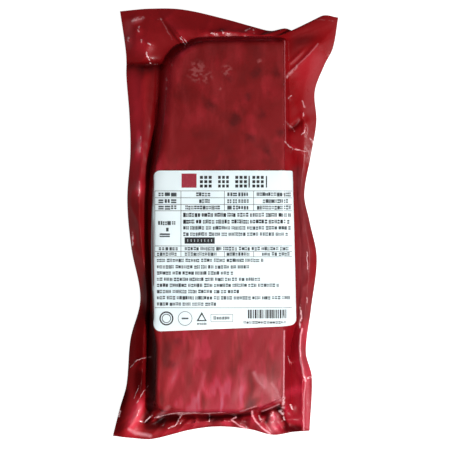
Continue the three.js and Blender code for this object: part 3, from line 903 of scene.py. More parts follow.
@dataclass(frozen=True)
class RingSheet:
    """A closed body made from a grid with rings of faces round it, which is then fitted to the pack.

    stops gives how far out each ring lies, as PackForm.film counts it, and starts with the grid's rim.
    """

    cells_across: int
    cells_along: int
    stops: tuple[float, ...]

    def build(self) -> bmesh.types.BMesh:
        """Makes the body in its own square coordinates, where ring k is k + 1 from the middle.

        Returns:
            The body, two layers of faces closed round the last ring.
        """
        sheet = bmesh.new()
        bmesh.ops.create_grid(
            sheet, x_segments=self.cells_across, y_segments=self.cells_along, size=1.0
        )
        rim = [edge for edge in sheet.edges if edge.is_boundary]
        for ring in range(1, len(self.stops)):
            grown = bmesh.ops.extrude_edge_only(sheet, edges=rim)["geom"]
            points = [item for item in grown if isinstance(item, bmesh.types.BMVert)]
            growth = (ring + 1) / ring
            bmesh.ops.scale(sheet, vec=(growth, growth, 1.0), verts=points)
            rim = [e for e in grown if isinstance(e, bmesh.types.BMEdge) and e.is_boundary]
        bmesh.ops.solidify(sheet, geom=sheet.faces[:], thickness=1.0)
        return sheet

    def fit(self, points: Array) -> tuple[Array, ...]:
        """Fits points in the sheet's square coordinates to the pack.

        Args:
            points: Rows of X and Y.

        Returns:
            The same as for PackForm.film, and how far out the points are.
        """
        u, v = points[:, 0], points[:, 1]
        reach = np.maximum(np.abs(u), np.abs(v))
        ring = np.rint(reach - 1).astype(int)
        edge = 1 - CLOSE
        on_face = reach < edge
        across = np.array(self.stops)[np.maximum(ring, 0)]
        u, v = (np.where(on_face, w, w / np.maximum(reach, 1)) for w in (u, v))
        steps = [(v <= -edge, u, 0), (u >= edge, v, 1), (v >= edge, -u, 2), (u <= -edge, -v, 3)]
        place = np.zeros_like(u)
        for chosen, along, start in reversed(steps):
            place = np.where(chosen, FORM.crowded((along + 1) / 2, start), place)
        ringed = FORM.film(place, across)
        faced = FORM.face(u, v)
        fitted = [np.where(on_face, a, b) for a, b in zip(faced, ringed)]
        return *fitted, np.where(on_face, 0.0, across)


# Meshes, materials and their helpers


def as_object(
    name: str, body: bmesh.types.BMesh, move: Callable[[Array], Array] | None = None
) -> bpy.types.Object:
    """Turns a bmesh into an object with smooth faces.

    Args:
        name: The object's name.
        body: The bmesh, which is freed.
        move: Gives the points their final places in metres, from their places in the bmesh.

    Returns:
        The new object.
    """
    mesh = bpy.data.meshes.new(name)
    body.to_mesh(mesh)
    body.free()
    if move:
        flat = np.empty(len(mesh.vertices) * 3, dtype=np.float32)
        mesh.vertices.foreach_get("co", flat)
        moved = move(flat.reshape(-1, 3).astype(float))
        mesh.vertices.foreach_set("co", moved.astype(np.float32).ravel())
    mesh.shade_smooth()
    mesh.set_sharp_from_angle(angle=SHARP_ANGLE)
    mesh.update()
    piece = bpy.data.objects.new(name, mesh)
    bpy.context.scene.collection.objects.link(piece)
    return piece


def laid(points: Array, x: Array, y: Array, low: Array, high: Array) -> Array:
    """Lays the points of a flat body.

    Args:
        points: The points in the flat body, which show their side of it.
        x: Their new X, in millimetres.
        y: Their new Y.
        low: The heights of the lower side.
        high: The heights of the upper side.

    Returns:
        The points in metres.
    """
    upper = points[:, 2] > points[:, 2].mean()
    return np.column_stack([x, y, np.where(upper, high, low)]) * MM


def ring_stops(shoulder: int, *bands: tuple[float, int]) -> tuple[float, ...]:
    """Spaces a sheet's rings, closest together at the slab's edge.

    Args:
        shoulder: How many rings the shoulder has.
        *bands: Where each band further out ends, and how many rings it has.

    Returns:
        How far out each ring lies.
    """
    stops = list(np.sin(np.linspace(0, math.pi / 2, shoulder + 1)))
    for end, rings in bands:
        stops.extend(np.linspace(stops[-1], end, rings + 1)[1:])
    return tuple(stops)


@dataclass
class Nodes:
    """Adds shader nodes to a tree. What goes into them is a value or an output socket."""

    tree: bpy.types.NodeTree

    def put(self, kind: str, inputs: dict | None = None, **settings: object) -> bpy.types.Node:
        """Adds a node.

        Args:
            kind: The node's type, without the words ShaderNode.
            inputs: What goes into it, by the inputs' names or indices.
            **settings: The node's own settings.

        Returns:
            The new node.
        """
        node = self.tree.nodes.new(f"ShaderNode{kind}")
        for name, value in settings.items():
            setattr(node, name, value)
        for key, value in (inputs or {}).items():
            if isinstance(value, Socket):
                self.tree.links.new(value, node.inputs[key])
            else:
                node.inputs[key].default_value = value
        return node

    def maths(self, operation: str, *values: object) -> Socket:
        """Adds a step of arithmetic."""
        return self.put("Math", dict(enumerate(values)), operation=operation).outputs[0]

    def vector(self, operation: str, *values: object) -> Socket:
        """Adds a step of vector arithmetic."""
        node = self.put("VectorMath", dict(enumerate(values)), operation=operation)
        return node.outputs["Value" if operation in ("DISTANCE", "DOT_PRODUCT") else "Vector"]

    def spread(
        self, value: Socket, start: object, end: object, first: object = 0.0, last: object = 1.0,
        smooth: bool = False,
    ) -> Socket:
        """Turns one range of values into another, and holds what lies outside it.

        Args:
            value: The value.
            start: Where the new value is first.
            end: Where the new value is last.
            first: The new value at the start.
            last: The new value at the end.
            smooth: True if it leaves and reaches them smoothly.

        Returns:
            The new value.
        """
        inputs = {"Value": value, "From Min": start, "From Max": end, "To Min": first, "To Max": last}
        kind = "SMOOTHSTEP" if smooth else "LINEAR"
        return self.put("MapRange", inputs, interpolation_type=kind).outputs[0]

    def blend(self, share: Socket, first: object, second: object, way: str = "MIX") -> Socket:
        """Blends two colours.

        Args:
            share: The second colour's share.
            first: The first colour.
            second: The second colour.
            way: How the second colour acts on the first.

        Returns:
            The blended colour.
        """
        colours = [colour if isinstance(colour, Socket) else rgba(colour) for colour in (first, second)]
        inputs = {0: share, 6: colours[0], 7: colours[1]}
        return self.put("Mix", inputs, data_type="RGBA", blend_type=way).outputs[2]


def rgba(colour: Colour) -> tuple[float, float, float, float]:
    """A colour with its alpha, as a socket takes it."""
    return (*colour, 1.0)


class Group(Nodes):
    """A shader node group in the making."""

    def __init__(self, name: str, inputs: dict[str, str], output: tuple[str, str]) -> None:
        """Starts the group.

        Args:
            name: Its name.
            inputs: Each input's kind, such as Float or Vector, by name.
            output: Its output's name and kind.
        """
        super().__init__(bpy.data.node_groups.new(name, "ShaderNodeTree"))
        for sockets, way in ((inputs.items(), "INPUT"), ((output,), "OUTPUT")):
            for title, kind in sockets:
                self.tree.interface.new_socket(name=title, in_out=way, socket_type=f"NodeSocket{kind}")
        self.given = self.tree.nodes.new("NodeGroupInput").outputs
        self.result = self.tree.nodes.new("NodeGroupOutput").inputs[0]

    def end(self, result: Socket) -> bpy.types.NodeTree:
        """Ends the group with its result."""
        self.tree.links.new(result, self.result)
        return self.tree


def mottle_group() -> bpy.types.NodeTree:
    """Makes the group for cloudy patches: noise of a given scale, spread between two of its values.

    Returns:
        The group.
    """
    inputs = {"Vector": "Vector", "Scale": "Float", "Detail": "Float", "Low": "Float", "High": "Float"}
    group = Group("Mottle", inputs, ("Mask", "Float"))
    given = group.given
    noise = group.put("TexNoise", {name: given[name] for name in ("Vector", "Scale", "Detail")})
    return group.end(group.spread(noise.outputs[0], given["Low"], given["High"], smooth=True))


def spot_group(ragged_scale: float = 260.0) -> bpy.types.NodeTree:
    """Makes the group for a round spot with a soft and slightly ragged edge.

    Args:
        ragged_scale: Cells of the edge's noise in a metre.

    Returns:
        The group.
    """
    inputs = {"Vector": "Vector", "Centre": "Vector", "Radius": "Float", "Softness": "Float"}
    group = Group("Spot", inputs, ("Mask", "Float"))
    given = group.given
    flat = group.vector("MULTIPLY", given["Vector"], IN_PLANE)
    distance = group.vector("DISTANCE", flat, given["Centre"])
    ragged = group.put("TexNoise", {"Vector": given["Vector"], "Scale": ragged_scale}).outputs[0]
    reach = group.maths("ADD", distance, group.maths("MULTIPLY", ragged, given["Softness"]))
    outside = group.maths("ADD", given["Radius"], given["Softness"])
    return group.end(group.spread(reach, outside, given["Radius"], smooth=True))


def streak_group() -> bpy.types.NodeTree:
    """Makes the group for a thin straight streak, added to those before it.

    The vector's X and Y are coordinates, and its Z carries the mask from one streak to the next. That
    keeps the streaks in a chain, so that the renderer works on one at a time. Rate is the way along the
    streak divided by its squared length.

    Returns:
        The group.
    """
    inputs = dict.fromkeys(("Vector", "From", "Way", "Rate"), "Vector")
    inputs |= dict.fromkeys(("Width", "Strength"), "Float")
    group = Group("Streak", inputs, ("Vector", "Vector"))
    given = group.given
    flat = group.vector("MULTIPLY", given["Vector"], IN_PLANE)
    before = group.vector("DOT_PRODUCT", given["Vector"], UPWARDS)
    gone = group.vector("SUBTRACT", flat, given["From"])
    share = group.put("Clamp", {0: group.vector("DOT_PRODUCT", gone, given["Rate"])}).outputs[0]
    nearest = group.vector("MULTIPLY_ADD", given["Way"], share, given["From"])
    distance = group.vector("DISTANCE", flat, nearest)
    mask = group.spread(distance, given["Width"], 0.0, 0.0, given["Strength"], smooth=True)
    both = group.maths("MAXIMUM", mask, before)
    return group.end(group.vector("MULTIPLY_ADD", UPWARDS, both, flat))


@dataclass(frozen=True)
class Spot:
    """A round mark on the slab: its centre, its radius and how soft its edge is."""

    centre: tuple[float, float]
    radius: float
    softness: float


@dataclass(frozen=True)
class Clouds:
    """Cloudy patches: cells in a metre, the noise values where they start and are full, and detail.

    They are drawn out along Y where drawn is below 1, and turned about Z by turn degrees.
    """

    scale: float
    low: float = 0.35
    high: float = 0.65
    detail: float = 3.0
    drawn: float = 1.0
    turn: float = 0.0


@dataclass(frozen=True)
class Raggedness:
    """What makes painted highlight lines uneven: their sway in millimetres and its noise, and where they
    are whole.
    """

    sway: float
    whole: Clouds
    scale: float = 300.0
    detail: float = 3.0


@dataclass(frozen=True)
class Relief:
    """Relief that is too fine for the mesh: its patches, its depth in millimetres and its strength."""

    clouds: Clouds
    depth: float
    strength: float


class Paint(Nodes):
    """A material in the making."""

    def __init__(self, name: str, groups: dict[str, bpy.types.NodeTree]) -> None:
        """Starts the material.

        Args:
            name: Its name.
            groups: The shared groups, by name.
        """
        self.material = bpy.data.materials.new(name)
        self.material.use_nodes = True
        super().__init__(self.material.node_tree)
        self.tree.nodes.clear()
        self.groups = groups
        self.place = self.put("TexCoord").outputs["Object"]

    def attribute(self, name: str) -> Socket:
        """Reads an attribute of the piece."""
        return self.put("Attribute", attribute_name=name).outputs["Fac"]

    def group(self, name: str, inputs: dict) -> Socket:
        """Places a shared group."""
        return self.put("Group", inputs, node_tree=self.groups[name]).outputs[0]

    def patches(self, clouds: Clouds) -> Socket:
        """Adds cloudy patches.

        Args:
            clouds: The patches.

        Returns:
            Their mask.
        """
        vector = self.place
        if clouds.drawn != 1:
            turn = (0.0, 0.0, math.radians(clouds.turn))
            inputs = {"Vector": vector, "Rotation": turn, "Scale": (1.0, clouds.drawn, 1.0)}
            vector = self.put("Mapping", inputs).outputs[0]
        inputs = {"Vector": vector, "Scale": clouds.scale, "Detail": clouds.detail}
        return self.group("Mottle", inputs | {"Low": clouds.low, "High": clouds.high})

    def spots(self, spots: tuple[Spot, ...]) -> Socket:
        """Adds round spots.

        Args:
            spots: The spots.

        Returns:
            The mask of all of them.
        """
        mask = 0.0
        for spot in spots:
            centre = (spot.centre[0] * MM, spot.centre[1] * MM, 0.0)
            inputs = {"Radius": spot.radius * MM, "Softness": spot.softness * MM}
            one = self.group("Spot", {"Vector": self.place, "Centre": centre} | inputs)
            mask = self.maths("MAXIMUM", mask, one)
        return mask

    def highlight_lines(self, highlight_lines: tuple[HighlightLine, ...], raggedness: Raggedness) -> Socket:
        """Adds thin painted highlight lines, uneven along their length.

        Args:
            highlight_lines: The painted highlight lines.
            raggedness: What makes them uneven.

        Returns:
            The mask of all of them.
        """
        sway = raggedness.sway * MM
        noise = {"Vector": self.place, "Scale": raggedness.scale, "Detail": raggedness.detail}
        waves = self.put("TexNoise", noise).outputs["Color"]
        shifted = self.vector("MULTIPLY_ADD", waves, (sway, sway, 0.0), self.place)
        carried = self.vector("MULTIPLY_ADD", shifted, IN_PLANE, (-sway / 2, -sway / 2, 0.0))
        for highlight in highlight_lines:
            for start, end in zip(highlight.path, highlight.path[1:]):
                way = (Vector((*end, 0.0)) - Vector((*start, 0.0))) * MM
                inputs = {
                    "Vector": carried,
                    "From": (start[0] * MM, start[1] * MM, 0.0),
                    "Way": way[:],
                    "Rate": (way / way.length_squared)[:],
                    "Width": highlight.width * MM,
                    "Strength": highlight.strength,
                }
                carried = self.group("Streak", inputs)
        mask = self.put("SeparateXYZ", {0: carried}).outputs["Z"]
        return self.maths("MULTIPLY", mask, self.patches(raggedness.whole))

    def ramp(self, value: Socket, stops: tuple[tuple[float, Colour], ...]) -> Socket:
        """Colours a value.

        Args:
            value: The value.
            stops: Values in rising order, each with its colour.

        Returns:
            The colour.
        """
        low, high = stops[0][0], stops[-1][0]
        node = self.put("ValToRGB", {0: self.spread(value, low, high)})
        elements = node.color_ramp.elements
        while len(elements) < len(stops):
            elements.new(1.0)
        for element, (at, colour) in zip(elements, stops):
            element.position = (at - low) / (high - low)
            element.color = rgba(colour)
        return node.outputs[0]

    def bump(self, height: Socket, depth: float, strength: float, under: Socket | None = None) -> Socket:
        """Adds a fine relief.

        Args:
            height: Its height.
            depth: Its depth in millimetres.
            strength: Its strength.
            under: The relief that it is added to.

        Returns:
            The normal.
        """
        inputs = {"Height": height, "Distance": depth * MM, "Strength": strength}
        return self.put("Bump", inputs | ({"Normal": under} if under else {})).outputs[0]

    def finish(self, inputs: dict) -> bpy.types.Material:
        """Ends the material with its shader."""
        self.put("OutputMaterial", {0: self.put("BsdfPrincipled", inputs).outputs[0]})
        return self.material


class Dresser:
    """Starts materials, which share the node groups that it builds once."""

    def __init__(self) -> None:
        """Builds the groups."""
        self.groups = {group.name: group for group in (mottle_group(), spot_group(), streak_group())}

    def start(self, name: str) -> Paint:
        """Starts a material."""
        return Paint(name, self.groups)


@dataclass(frozen=True)
class FilmFinish:
    """Glossy see-through red film."""

    # The film's reds by level: painted darker in grooves and painted shade, paler on folds and painted
    # light, its own red at 0
    lit_and_shaded_reds: tuple[tuple[float, Colour], ...] = (
        (-6.0, (0.02, 0.001, 0.001)),
        (-3.0, (0.095, 0.0016, 0.0022)),
        (0.0, (0.25, 0.0045, 0.0065)),
        (3.0, (0.45, 0.014, 0.024)),
        (4.8, (0.7, 0.032, 0.06)),
        (6.5, (0.78, 0.15, 0.18)),
    )
    # Colours of the painted highlights along edges and folds, and of the painted glints
    edge_highlight: Colour = (0.85, 0.36, 0.4)
    glint: Colour = (0.95, 0.6, 0.62)
    pinker: Colour = (1.0, 1.1, 1.6)
    # Pale speckled patches
    pale_specks: Colour = (0.5, 0.12, 0.12)

    # Painted light: the film on the meat is lifted paler from the pack's middle to its near end, with
    # streaks and shades there
    near_end: tuple[float, float] = (0.04, -0.12)
    painted_light_lift: float = 3.0
    streaks: Clouds = Clouds(150.0, 0.5, 0.64, 2.0, drawn=0.3, turn=22.0)
    streak_lift: float = 2.4
    shades: Clouds = Clouds(90.0, 0.54, 0.68, 2.0, drawn=0.3, turn=22.0)
    shade_lift: float = -4.0
    # On the rest of the meat, beyond the near end's painted light
    calm_lift: float = 0.6
    clouds: Clouds = Clouds(62.0, 0.42, 0.66)
    cloud_lift: float = -2.0
    wisps: Clouds = Clouds(95.0, 0.52, 0.68, drawn=0.6, turn=-35.0)
    wisp_lift: float = 2.2
    # How the pinker light comes in across the pack and along it
    pink_across: tuple[float, float] = (-0.06, 0.02)
    pink_along: tuple[float, float] = (0.09, -0.09)
    specks: Clouds = Clouds(430.0, 0.44, 0.6, 1.0)
    edge_raggedness: Raggedness = Raggedness(0.8, Clouds(430.0, 0.1, 0.42))
    glint_raggedness: Raggedness = Raggedness(2.0, Clouds(430.0, 0.34, 0.54))
    grain: Relief = Relief(Clouds(420.0, 0.3, 0.7), 0.06, 0.35)
    long_grain: Relief = Relief(Clouds(190.0, 0.3, 0.7, 1.0, drawn=0.25, turn=24.0), 0.12, 0.15)

    shine: float = 0.3
    shine_on_meat: float = 0.13
    least_shine: float = 0.04
    coat: float = 0.16
    coat_roughness: float = 0.08
    roughness_on_meat: float = 0.34
    roughness_at_seal: float = 0.32
    alpha_on_meat: float = 0.42
    alpha_at_seal: float = 1.0
    speckled_spots: tuple[Spot, ...] = each(
        Spot,
        ((-18, 100), 6.5, 4), ((-13, 97), 4, 5), ((1, 101), 3.4, 3), ((22.6, 106.6), 1.4, 2),
        ((-34.5, 104.6), 0.6, 1.5), ((-3, 89), 1.0, 2),
    )

    def make(self, dresser: Dresser) -> bpy.types.Material:
        """Makes the material.

        Args:
            dresser: What it is made with.

        Returns:
            The material.
        """
        paint = dresser.start("red_film")
        relief, contact = paint.attribute("relief"), paint.attribute("contact")
        axes = paint.put("SeparateXYZ", {0: paint.place}).outputs
        lit_meat = paint.maths("MULTIPLY", contact, paint.spread(axes["Y"], *self.near_end, smooth=True))
        streaks, shades = paint.patches(self.streaks), paint.patches(self.shades)
        extra = paint.maths("MULTIPLY_ADD", streaks, self.streak_lift, self.painted_light_lift)
        extra = paint.maths("MULTIPLY_ADD", shades, self.shade_lift, extra)
        level = paint.maths("MULTIPLY_ADD", lit_meat, extra, relief)
        clouds, wisps = paint.patches(self.clouds), paint.patches(self.wisps)
        calm = paint.maths("SUBTRACT", contact, lit_meat)
        drift = paint.maths("MULTIPLY_ADD", clouds, self.cloud_lift, self.calm_lift)
        drift = paint.maths("MULTIPLY_ADD", wisps, self.wisp_lift, drift)
        level = paint.maths("MULTIPLY_ADD", calm, drift, level)
        # Painted light and shade: the level, from the folds' relief, the painted patches and the near end's
        # painted light, turns into red
        base = paint.ramp(level, self.lit_and_shaded_reds)
        across = paint.spread(axes["X"], *self.pink_across)
        along = paint.spread(axes["Y"], *self.pink_along)
        base = paint.blend(paint.maths("MULTIPLY", along, across), base, self.pinker, "MULTIPLY")
        # Pale speckled patches in round spots
        pale_specks = paint.maths("MULTIPLY", paint.spots(self.speckled_spots), paint.patches(self.specks))
        base = paint.blend(pale_specks, base, self.pale_specks)
        # Painted highlights: pale lines and sheen along edges and folds, then small painted glints
        base = paint.blend(paint.highlight_lines(PAINTED_EDGE_HIGHLIGHTS, self.edge_raggedness), base, self.edge_highlight)
        base = paint.blend(paint.highlight_lines(PAINTED_GLINTS, self.glint_raggedness), base, self.glint)
        dull = paint.attribute("dull")
        shine = paint.spread(contact, 0.0, 1.0, self.shine, self.shine_on_meat)
        inputs = {
            "Base Color": base,
            "Roughness": paint.spread(contact, 0.0, 1.0, self.roughness_at_seal, self.roughness_on_meat),
            "Alpha": paint.spread(contact, 0.0, 1.0, self.alpha_at_seal, self.alpha_on_meat),
            "Specular IOR Level": paint.spread(dull, 0.0, 1.0, shine, self.least_shine),
            "Coat Weight": paint.spread(dull, 0.0, 1.0, self.coat, 0.0),
            "Coat Roughness": self.coat_roughness,
        }
        normal = None
        for grain in (self.grain, self.long_grain):
            normal = paint.bump(paint.patches(grain.clouds), grain.depth, grain.strength, normal)
        return paint.finish(inputs | {"Normal": normal})


@dataclass(frozen=True)
class MeatFinish:
    """Cured pork: dark lean with paler streaks of fat and dark round spots."""

    lean: Colour = (0.24, 0.008, 0.008)
    fat: Colour = (0.42, 0.03, 0.035)
    spot: Colour = (0.045, 0.004, 0.003)
    spots: tuple[Spot, ...] = each(
        Spot,
        ((20.4, 99), 3.0, 4.5), ((15, 83.8), 2.4, 4.5), ((6.2, 68.3), 3.6, 4.5), ((24, 72.5), 2.2, 5),
        ((16.4, 57), 2.8, 5), ((36, 60.4), 2.0, 5), ((34, 99), 2.0, 6), ((2, 96), 2.0, 6),
        ((-10, 78), 2.0, 7), ((28, 48), 2.0, 6), ((-31.4, -76.2), 2.6, 6), ((-34, -92), 2.4, 6),
    )
    streaks: Clouds = Clouds(95.0, 0.45, 0.75, drawn=0.3, turn=20.0)
    streak_depth: float = 0.3
    streak_strength: float = 0.4
    roughness: float = 0.55

    def make(self, dresser: Dresser) -> bpy.types.Material:
        """Makes the material.

        Args:
            dresser: What it is made with.

        Returns:
            The material.
        """
        paint = dresser.start("cured_meat")
        streaks = paint.patches(self.streaks)
        base = paint.blend(streaks, self.lean, self.fat)
        base = paint.blend(paint.spots(self.spots), base, self.spot)
        normal = paint.bump(streaks, self.streak_depth, self.streak_strength)
        return paint.finish({"Base Color": base, "Roughness": self.roughness, "Normal": normal})


@dataclass(frozen=True)
class PaperFinish:
    """Smooth white label paper, a little blue, with faint fibres."""

    white: Colour = (0.84, 0.94, 0.96)
    shade: Colour = (0.76, 0.87, 0.9)
    clouds: Clouds = Clouds(24.0, 0.4, 0.75)
    fibres: Relief = Relief(Clouds(1400.0), 0.02, 0.3)
    roughness: float = 0.5

    def make(self, dresser: Dresser) -> bpy.types.Material:
        """Makes the material.

        Args:
            dresser: What it is made with.

        Returns:
            The material.
        """
        paint = dresser.start("label_paper")
        base = paint.blend(paint.patches(self.clouds), self.white, self.shade)
        fibres = self.fibres
        normal = paint.bump(paint.patches(fibres.clouds), fibres.depth, fibres.strength)
        return paint.finish({"Base Color": base, "Roughness": self.roughness, "Normal": normal})


@dataclass(frozen=True)
class InkFinish:
    """Printed ink, which is a little uneven."""

    name: str
    full: Colour
    thin: Colour
    uneven: Clouds = Clouds(900.0, 0.5, 0.8)
    roughness: float = 0.45

    def make(self, dresser: Dresser) -> bpy.types.Material:
        """Makes the material.

        Args:
            dresser: What it is made with.

        Returns:
            The material.
        """
        paint = dresser.start(self.name)
        base = paint.blend(paint.patches(self.uneven), self.full, self.thin)
        return paint.finish({"Base Color": base, "Roughness": self.roughness})


# The pieces


@dataclass
class FilmPouch:
    """The film pouch, one closed body round the slab out to the edge of its seals."""

    cells_across: int = 96
    cells_along: int = 220
    stops: tuple[float, ...] = ring_stops(4, (2.0, 8), (3.0, 26))
    # Between which places out the film leaves the meat, and turns duller and shiny again at the slab's side
    leaves_meat: tuple[float, float] = (0.6, 1.3)
    duller_from: tuple[float, float] = (0.1, 0.7)
    duller_to: tuple[float, float] = (1.9, 2.2)
    # Painted light as bright as this leaves no dullness
    brightest_painted_light: float = 4.5

    def build(self, finish: bpy.types.Material) -> bpy.types.Object:
        """Makes the pouch.

        Args:
            finish: Its material.

        Returns:
            The piece.
        """
        sheet = RingSheet(self.cells_across, self.cells_along, self.stops)
        marks = {}

        def move(points: Array) -> Array:
            """Lays the sheet on the pack and keeps what the finish reads.

            Args:
                points: The sheet's points.

            Returns:
                Their places on the pack, in metres.
            """
            x, y, top, bottom, relief, across = sheet.fit(points)
            # Painted light and shade, added to the folds' relief, from which the finish paints the film
            # darker and paler
            painted_shading = sum(painted_patch.height(x, y) for painted_patch in PAINTED_LIGHT_AND_SHADE)
            wall = smooth_step(across, *self.duller_from) * (1 - smooth_step(across, *self.duller_to))
            dull = wall - painted_shading / self.brightest_painted_light + sum(spot.height(x, y) for spot in DULL)
            marks["contact"] = 1 - smooth_step(across, *self.leaves_meat)
            marks["relief"] = relief + painted_shading
            marks["dull"] = np.clip(dull, 0, 1)
            return laid(points, x, y, bottom, top)

        piece = as_object("film_pouch", sheet.build(), move)
        for name, numbers in marks.items():
            values = piece.data.attributes.new(name, "FLOAT", "POINT")
            values.data.foreach_set("value", numbers.astype(np.float32))
        piece.data.materials.append(finish)
        return piece


@dataclass
class BaconSlab:
    """The slab of bacon inside the pouch."""

    cells_across: int = 60
    cells_along: int = 168
    stops: tuple[float, ...] = ring_stops(3, (1.8, 6))
    gap: float = 0.35
    least_side: float = 1.0

    def build(self, finish: bpy.types.Material) -> bpy.types.Object:
        """Makes the slab.

        Args:
            finish: Its material.

        Returns:
            The piece.
        """
        sheet = RingSheet(self.cells_across, self.cells_along, self.stops)

        def move(points: Array) -> Array:
            """Keeps the slab's two sides just inside the film.

            Args:
                points: The sheet's points.

            Returns:
                Their places in the pouch, in metres.
            """
            x, y, top, bottom, _, _ = sheet.fit(points)
            low = bottom + self.gap
            high = np.maximum(top - self.gap, low + self.least_side)
            inwards = 1 - self.gap / FORM.half_width
            return laid(points, x * inwards, y * inwards, low, high)

        piece = as_object("bacon_slab", sheet.build(), move)
        piece.data.materials.append(finish)
        return piece


@dataclass
class Drape:
    """Lays thin things on a piece from above."""

    over: bpy.types.Object

    def __post_init__(self) -> None:
        """Prepares the search for what lies below a point."""
        mesh = self.over.data
        corners = [vertex.co[:] for vertex in mesh.vertices]
        self.tree = BVHTree.FromPolygons(corners, [face.vertices[:] for face in mesh.polygons])

    def lay(self, points: Array, x: Array, y: Array, gap: float, thickness: float) -> Array:
        """Lays a thin flat body on the piece.

        Args:
            points: The points of the flat body.
            x: Their new X, in millimetres.
            y: Their new Y.
            gap: How far the body lies above the piece.
            thickness: Its thickness.

        Returns:
            The points in metres.
        """
        down = -Vector(UPWARDS)
        found = [self.tree.ray_cast(Vector((a * MM, b * MM, 1)), down)[0].z for a, b in zip(x, y)]
        low = np.array(found) / MM + gap
        return laid(points, x, y, low, low + thickness)


@dataclass
class PaperLabel:
    """The label: a sheet with rounded corners over the slab's face and its two long edges."""

    near_left: tuple[float, float] = (-46.6, -70)
    near_right: tuple[float, float] = (47, -66.2)
    far_right: tuple[float, float] = (44.4, 35.3)
    far_left: tuple[float, float] = (-46.6, 35.3)
    left_bow: float = 2.0
    corner_radii: tuple[float, float, float, float] = (4.5, 4.0, 0.5, 4.0)
    cells: int = 96
    gap: float = 0.12
    thickness: float = 0.14

    def lay(self, u: Array, v: Array) -> tuple[Array, Array]:
        """Finds places on the label.

        Args:
            u: How far across, from 0 to 1.
            v: How far along, from 0 to 1.

        Returns:
            Their X and Y.
        """
        near = [a + (b - a) * u for a, b in zip(self.near_left, self.near_right)]
        far = [a + (b - a) * u for a, b in zip(self.far_left, self.far_right)]
        x, y = (a + (b - a) * v for a, b in zip(near, far))
        return x - self.left_bow * np.sin(math.pi * v) * (1 - u), y

    def rounded(self, u: Array, v: Array) -> tuple[Array, Array]:
        """Draws the sheet in at its corners.

        Args:
            u: How far across, from 0 to 1.
            v: How far along, from 0 to 1.

        Returns:
            The new shares, which make quarter circles at the corners.
        """
        width = self.near_right[0] - self.near_left[0]
        length = self.far_left[1] - self.near_left[1]
        x, y = u * width, v * length
        middles = ((0, 0), (width, 0), (width, length), (0, length))
        for (cx, cy), radius in zip(middles, self.corner_radii):
            way_x, way_y = math.copysign(1, width / 2 - cx), math.copysign(1, length / 2 - cy)
            ox, oy = cx + way_x * radius, cy + way_y * radius
            a, b = (ox - x) * way_x / radius, (oy - y) * way_y / radius
            inside = (a > 0) & (b > 0)
            shrink = np.where(inside, np.maximum(a, b) / np.maximum(np.hypot(a, b), TINY), 1)
            x = np.where(inside, ox - way_x * radius * a * shrink, x)
            y = np.where(inside, oy - way_y * radius * b * shrink, y)
        return x / width, y / length

    def build(self, drape: Drape, finish: bpy.types.Material) -> bpy.types.Object:
        """Makes the label.

        Args:
            drape: What lays it on the film.
            finish: Its material.

        Returns:
            The piece.
        """
        sheet = bmesh.new()
        bmesh.ops.create_grid(sheet, x_segments=self.cells, y_segments=self.cells, size=0.5)
        bmesh.ops.solidify(sheet, geom=sheet.faces[:], thickness=1.0)

        def move(points: Array) -> Array:
            """Lays the sheet's two sides over the film."""
            x, y = self.lay(*self.rounded(points[:, 0] + 0.5, points[:, 1] + 0.5))
            return drape.lay(points, x, y, self.gap, self.thickness)

        piece = as_object("paper_label", sheet, move)
        piece.data.materials.append(finish)
        return piece


class Ink(Enum):
    """The label's inks, each with its finish."""

    BLACK = InkFinish("black_ink", (0.012, 0.012, 0.014), (0.04, 0.04, 0.045))
    GREY = InkFinish("grey_ink", (0.045, 0.055, 0.06), (0.11, 0.13, 0.14))
    RED = InkFinish("red_ink", (0.33, 0.02, 0.04), (0.4, 0.04, 0.06))


class Mark(Enum):
    """The plain shapes that stand for small print, each with its pieces as shares of its box."""

    BLOCK = ((0.0, 1.0, 0.0, 1.0),)
    UPRIGHT = ((0.0, 0.44, 0.0, 1.0), (0.62, 1.0, 0.0, 1.0))
    LEVEL = ((0.0, 1.0, 0.0, 0.38), (0.0, 1.0, 0.58, 1.0))
    QUARTERS = (
        (0.0, 0.44, 0.0, 0.42), (0.6, 1.0, 0.0, 0.42), (0.0, 0.44, 0.58, 1.0), (0.6, 1.0, 0.58, 1.0),
    )


@dataclass(frozen=True)
class WordRow:
    """A row of plain marks in the place of small print: from x to x, about a height, in words."""

    start: float
    end: float
    y: float
    height: float = 2.8
    cell: float = 1.9
    ink: Ink = Ink.GREY
    spaced: bool = True


@dataclass(frozen=True)
class Ring:
    """A flat ring, or a hollow triangle where it has three sides: its middle, outer radius and line."""

    centre: tuple[float, float]
    radius: float
    line: float
    sides: int = 36

    def add(self, body: bmesh.types.BMesh) -> None:
        """Adds the ring.

        Args:
            body: The bmesh to add to.
        """
        middle = Vector((*self.centre, 0))
        place = Matrix.Translation(middle)
        made = bmesh.ops.create_circle(body, segments=self.sides, radius=self.radius, matrix=place)
        edges = list(dict.fromkeys(edge for vert in made["verts"] for edge in vert.link_edges))
        share = 1 - self.line / (self.radius * math.cos(math.pi / self.sides))
        for item in bmesh.ops.extrude_edge_only(body, edges=edges)["geom"]:
            if isinstance(item, bmesh.types.BMVert):
                item.co = middle + (item.co - middle) * share


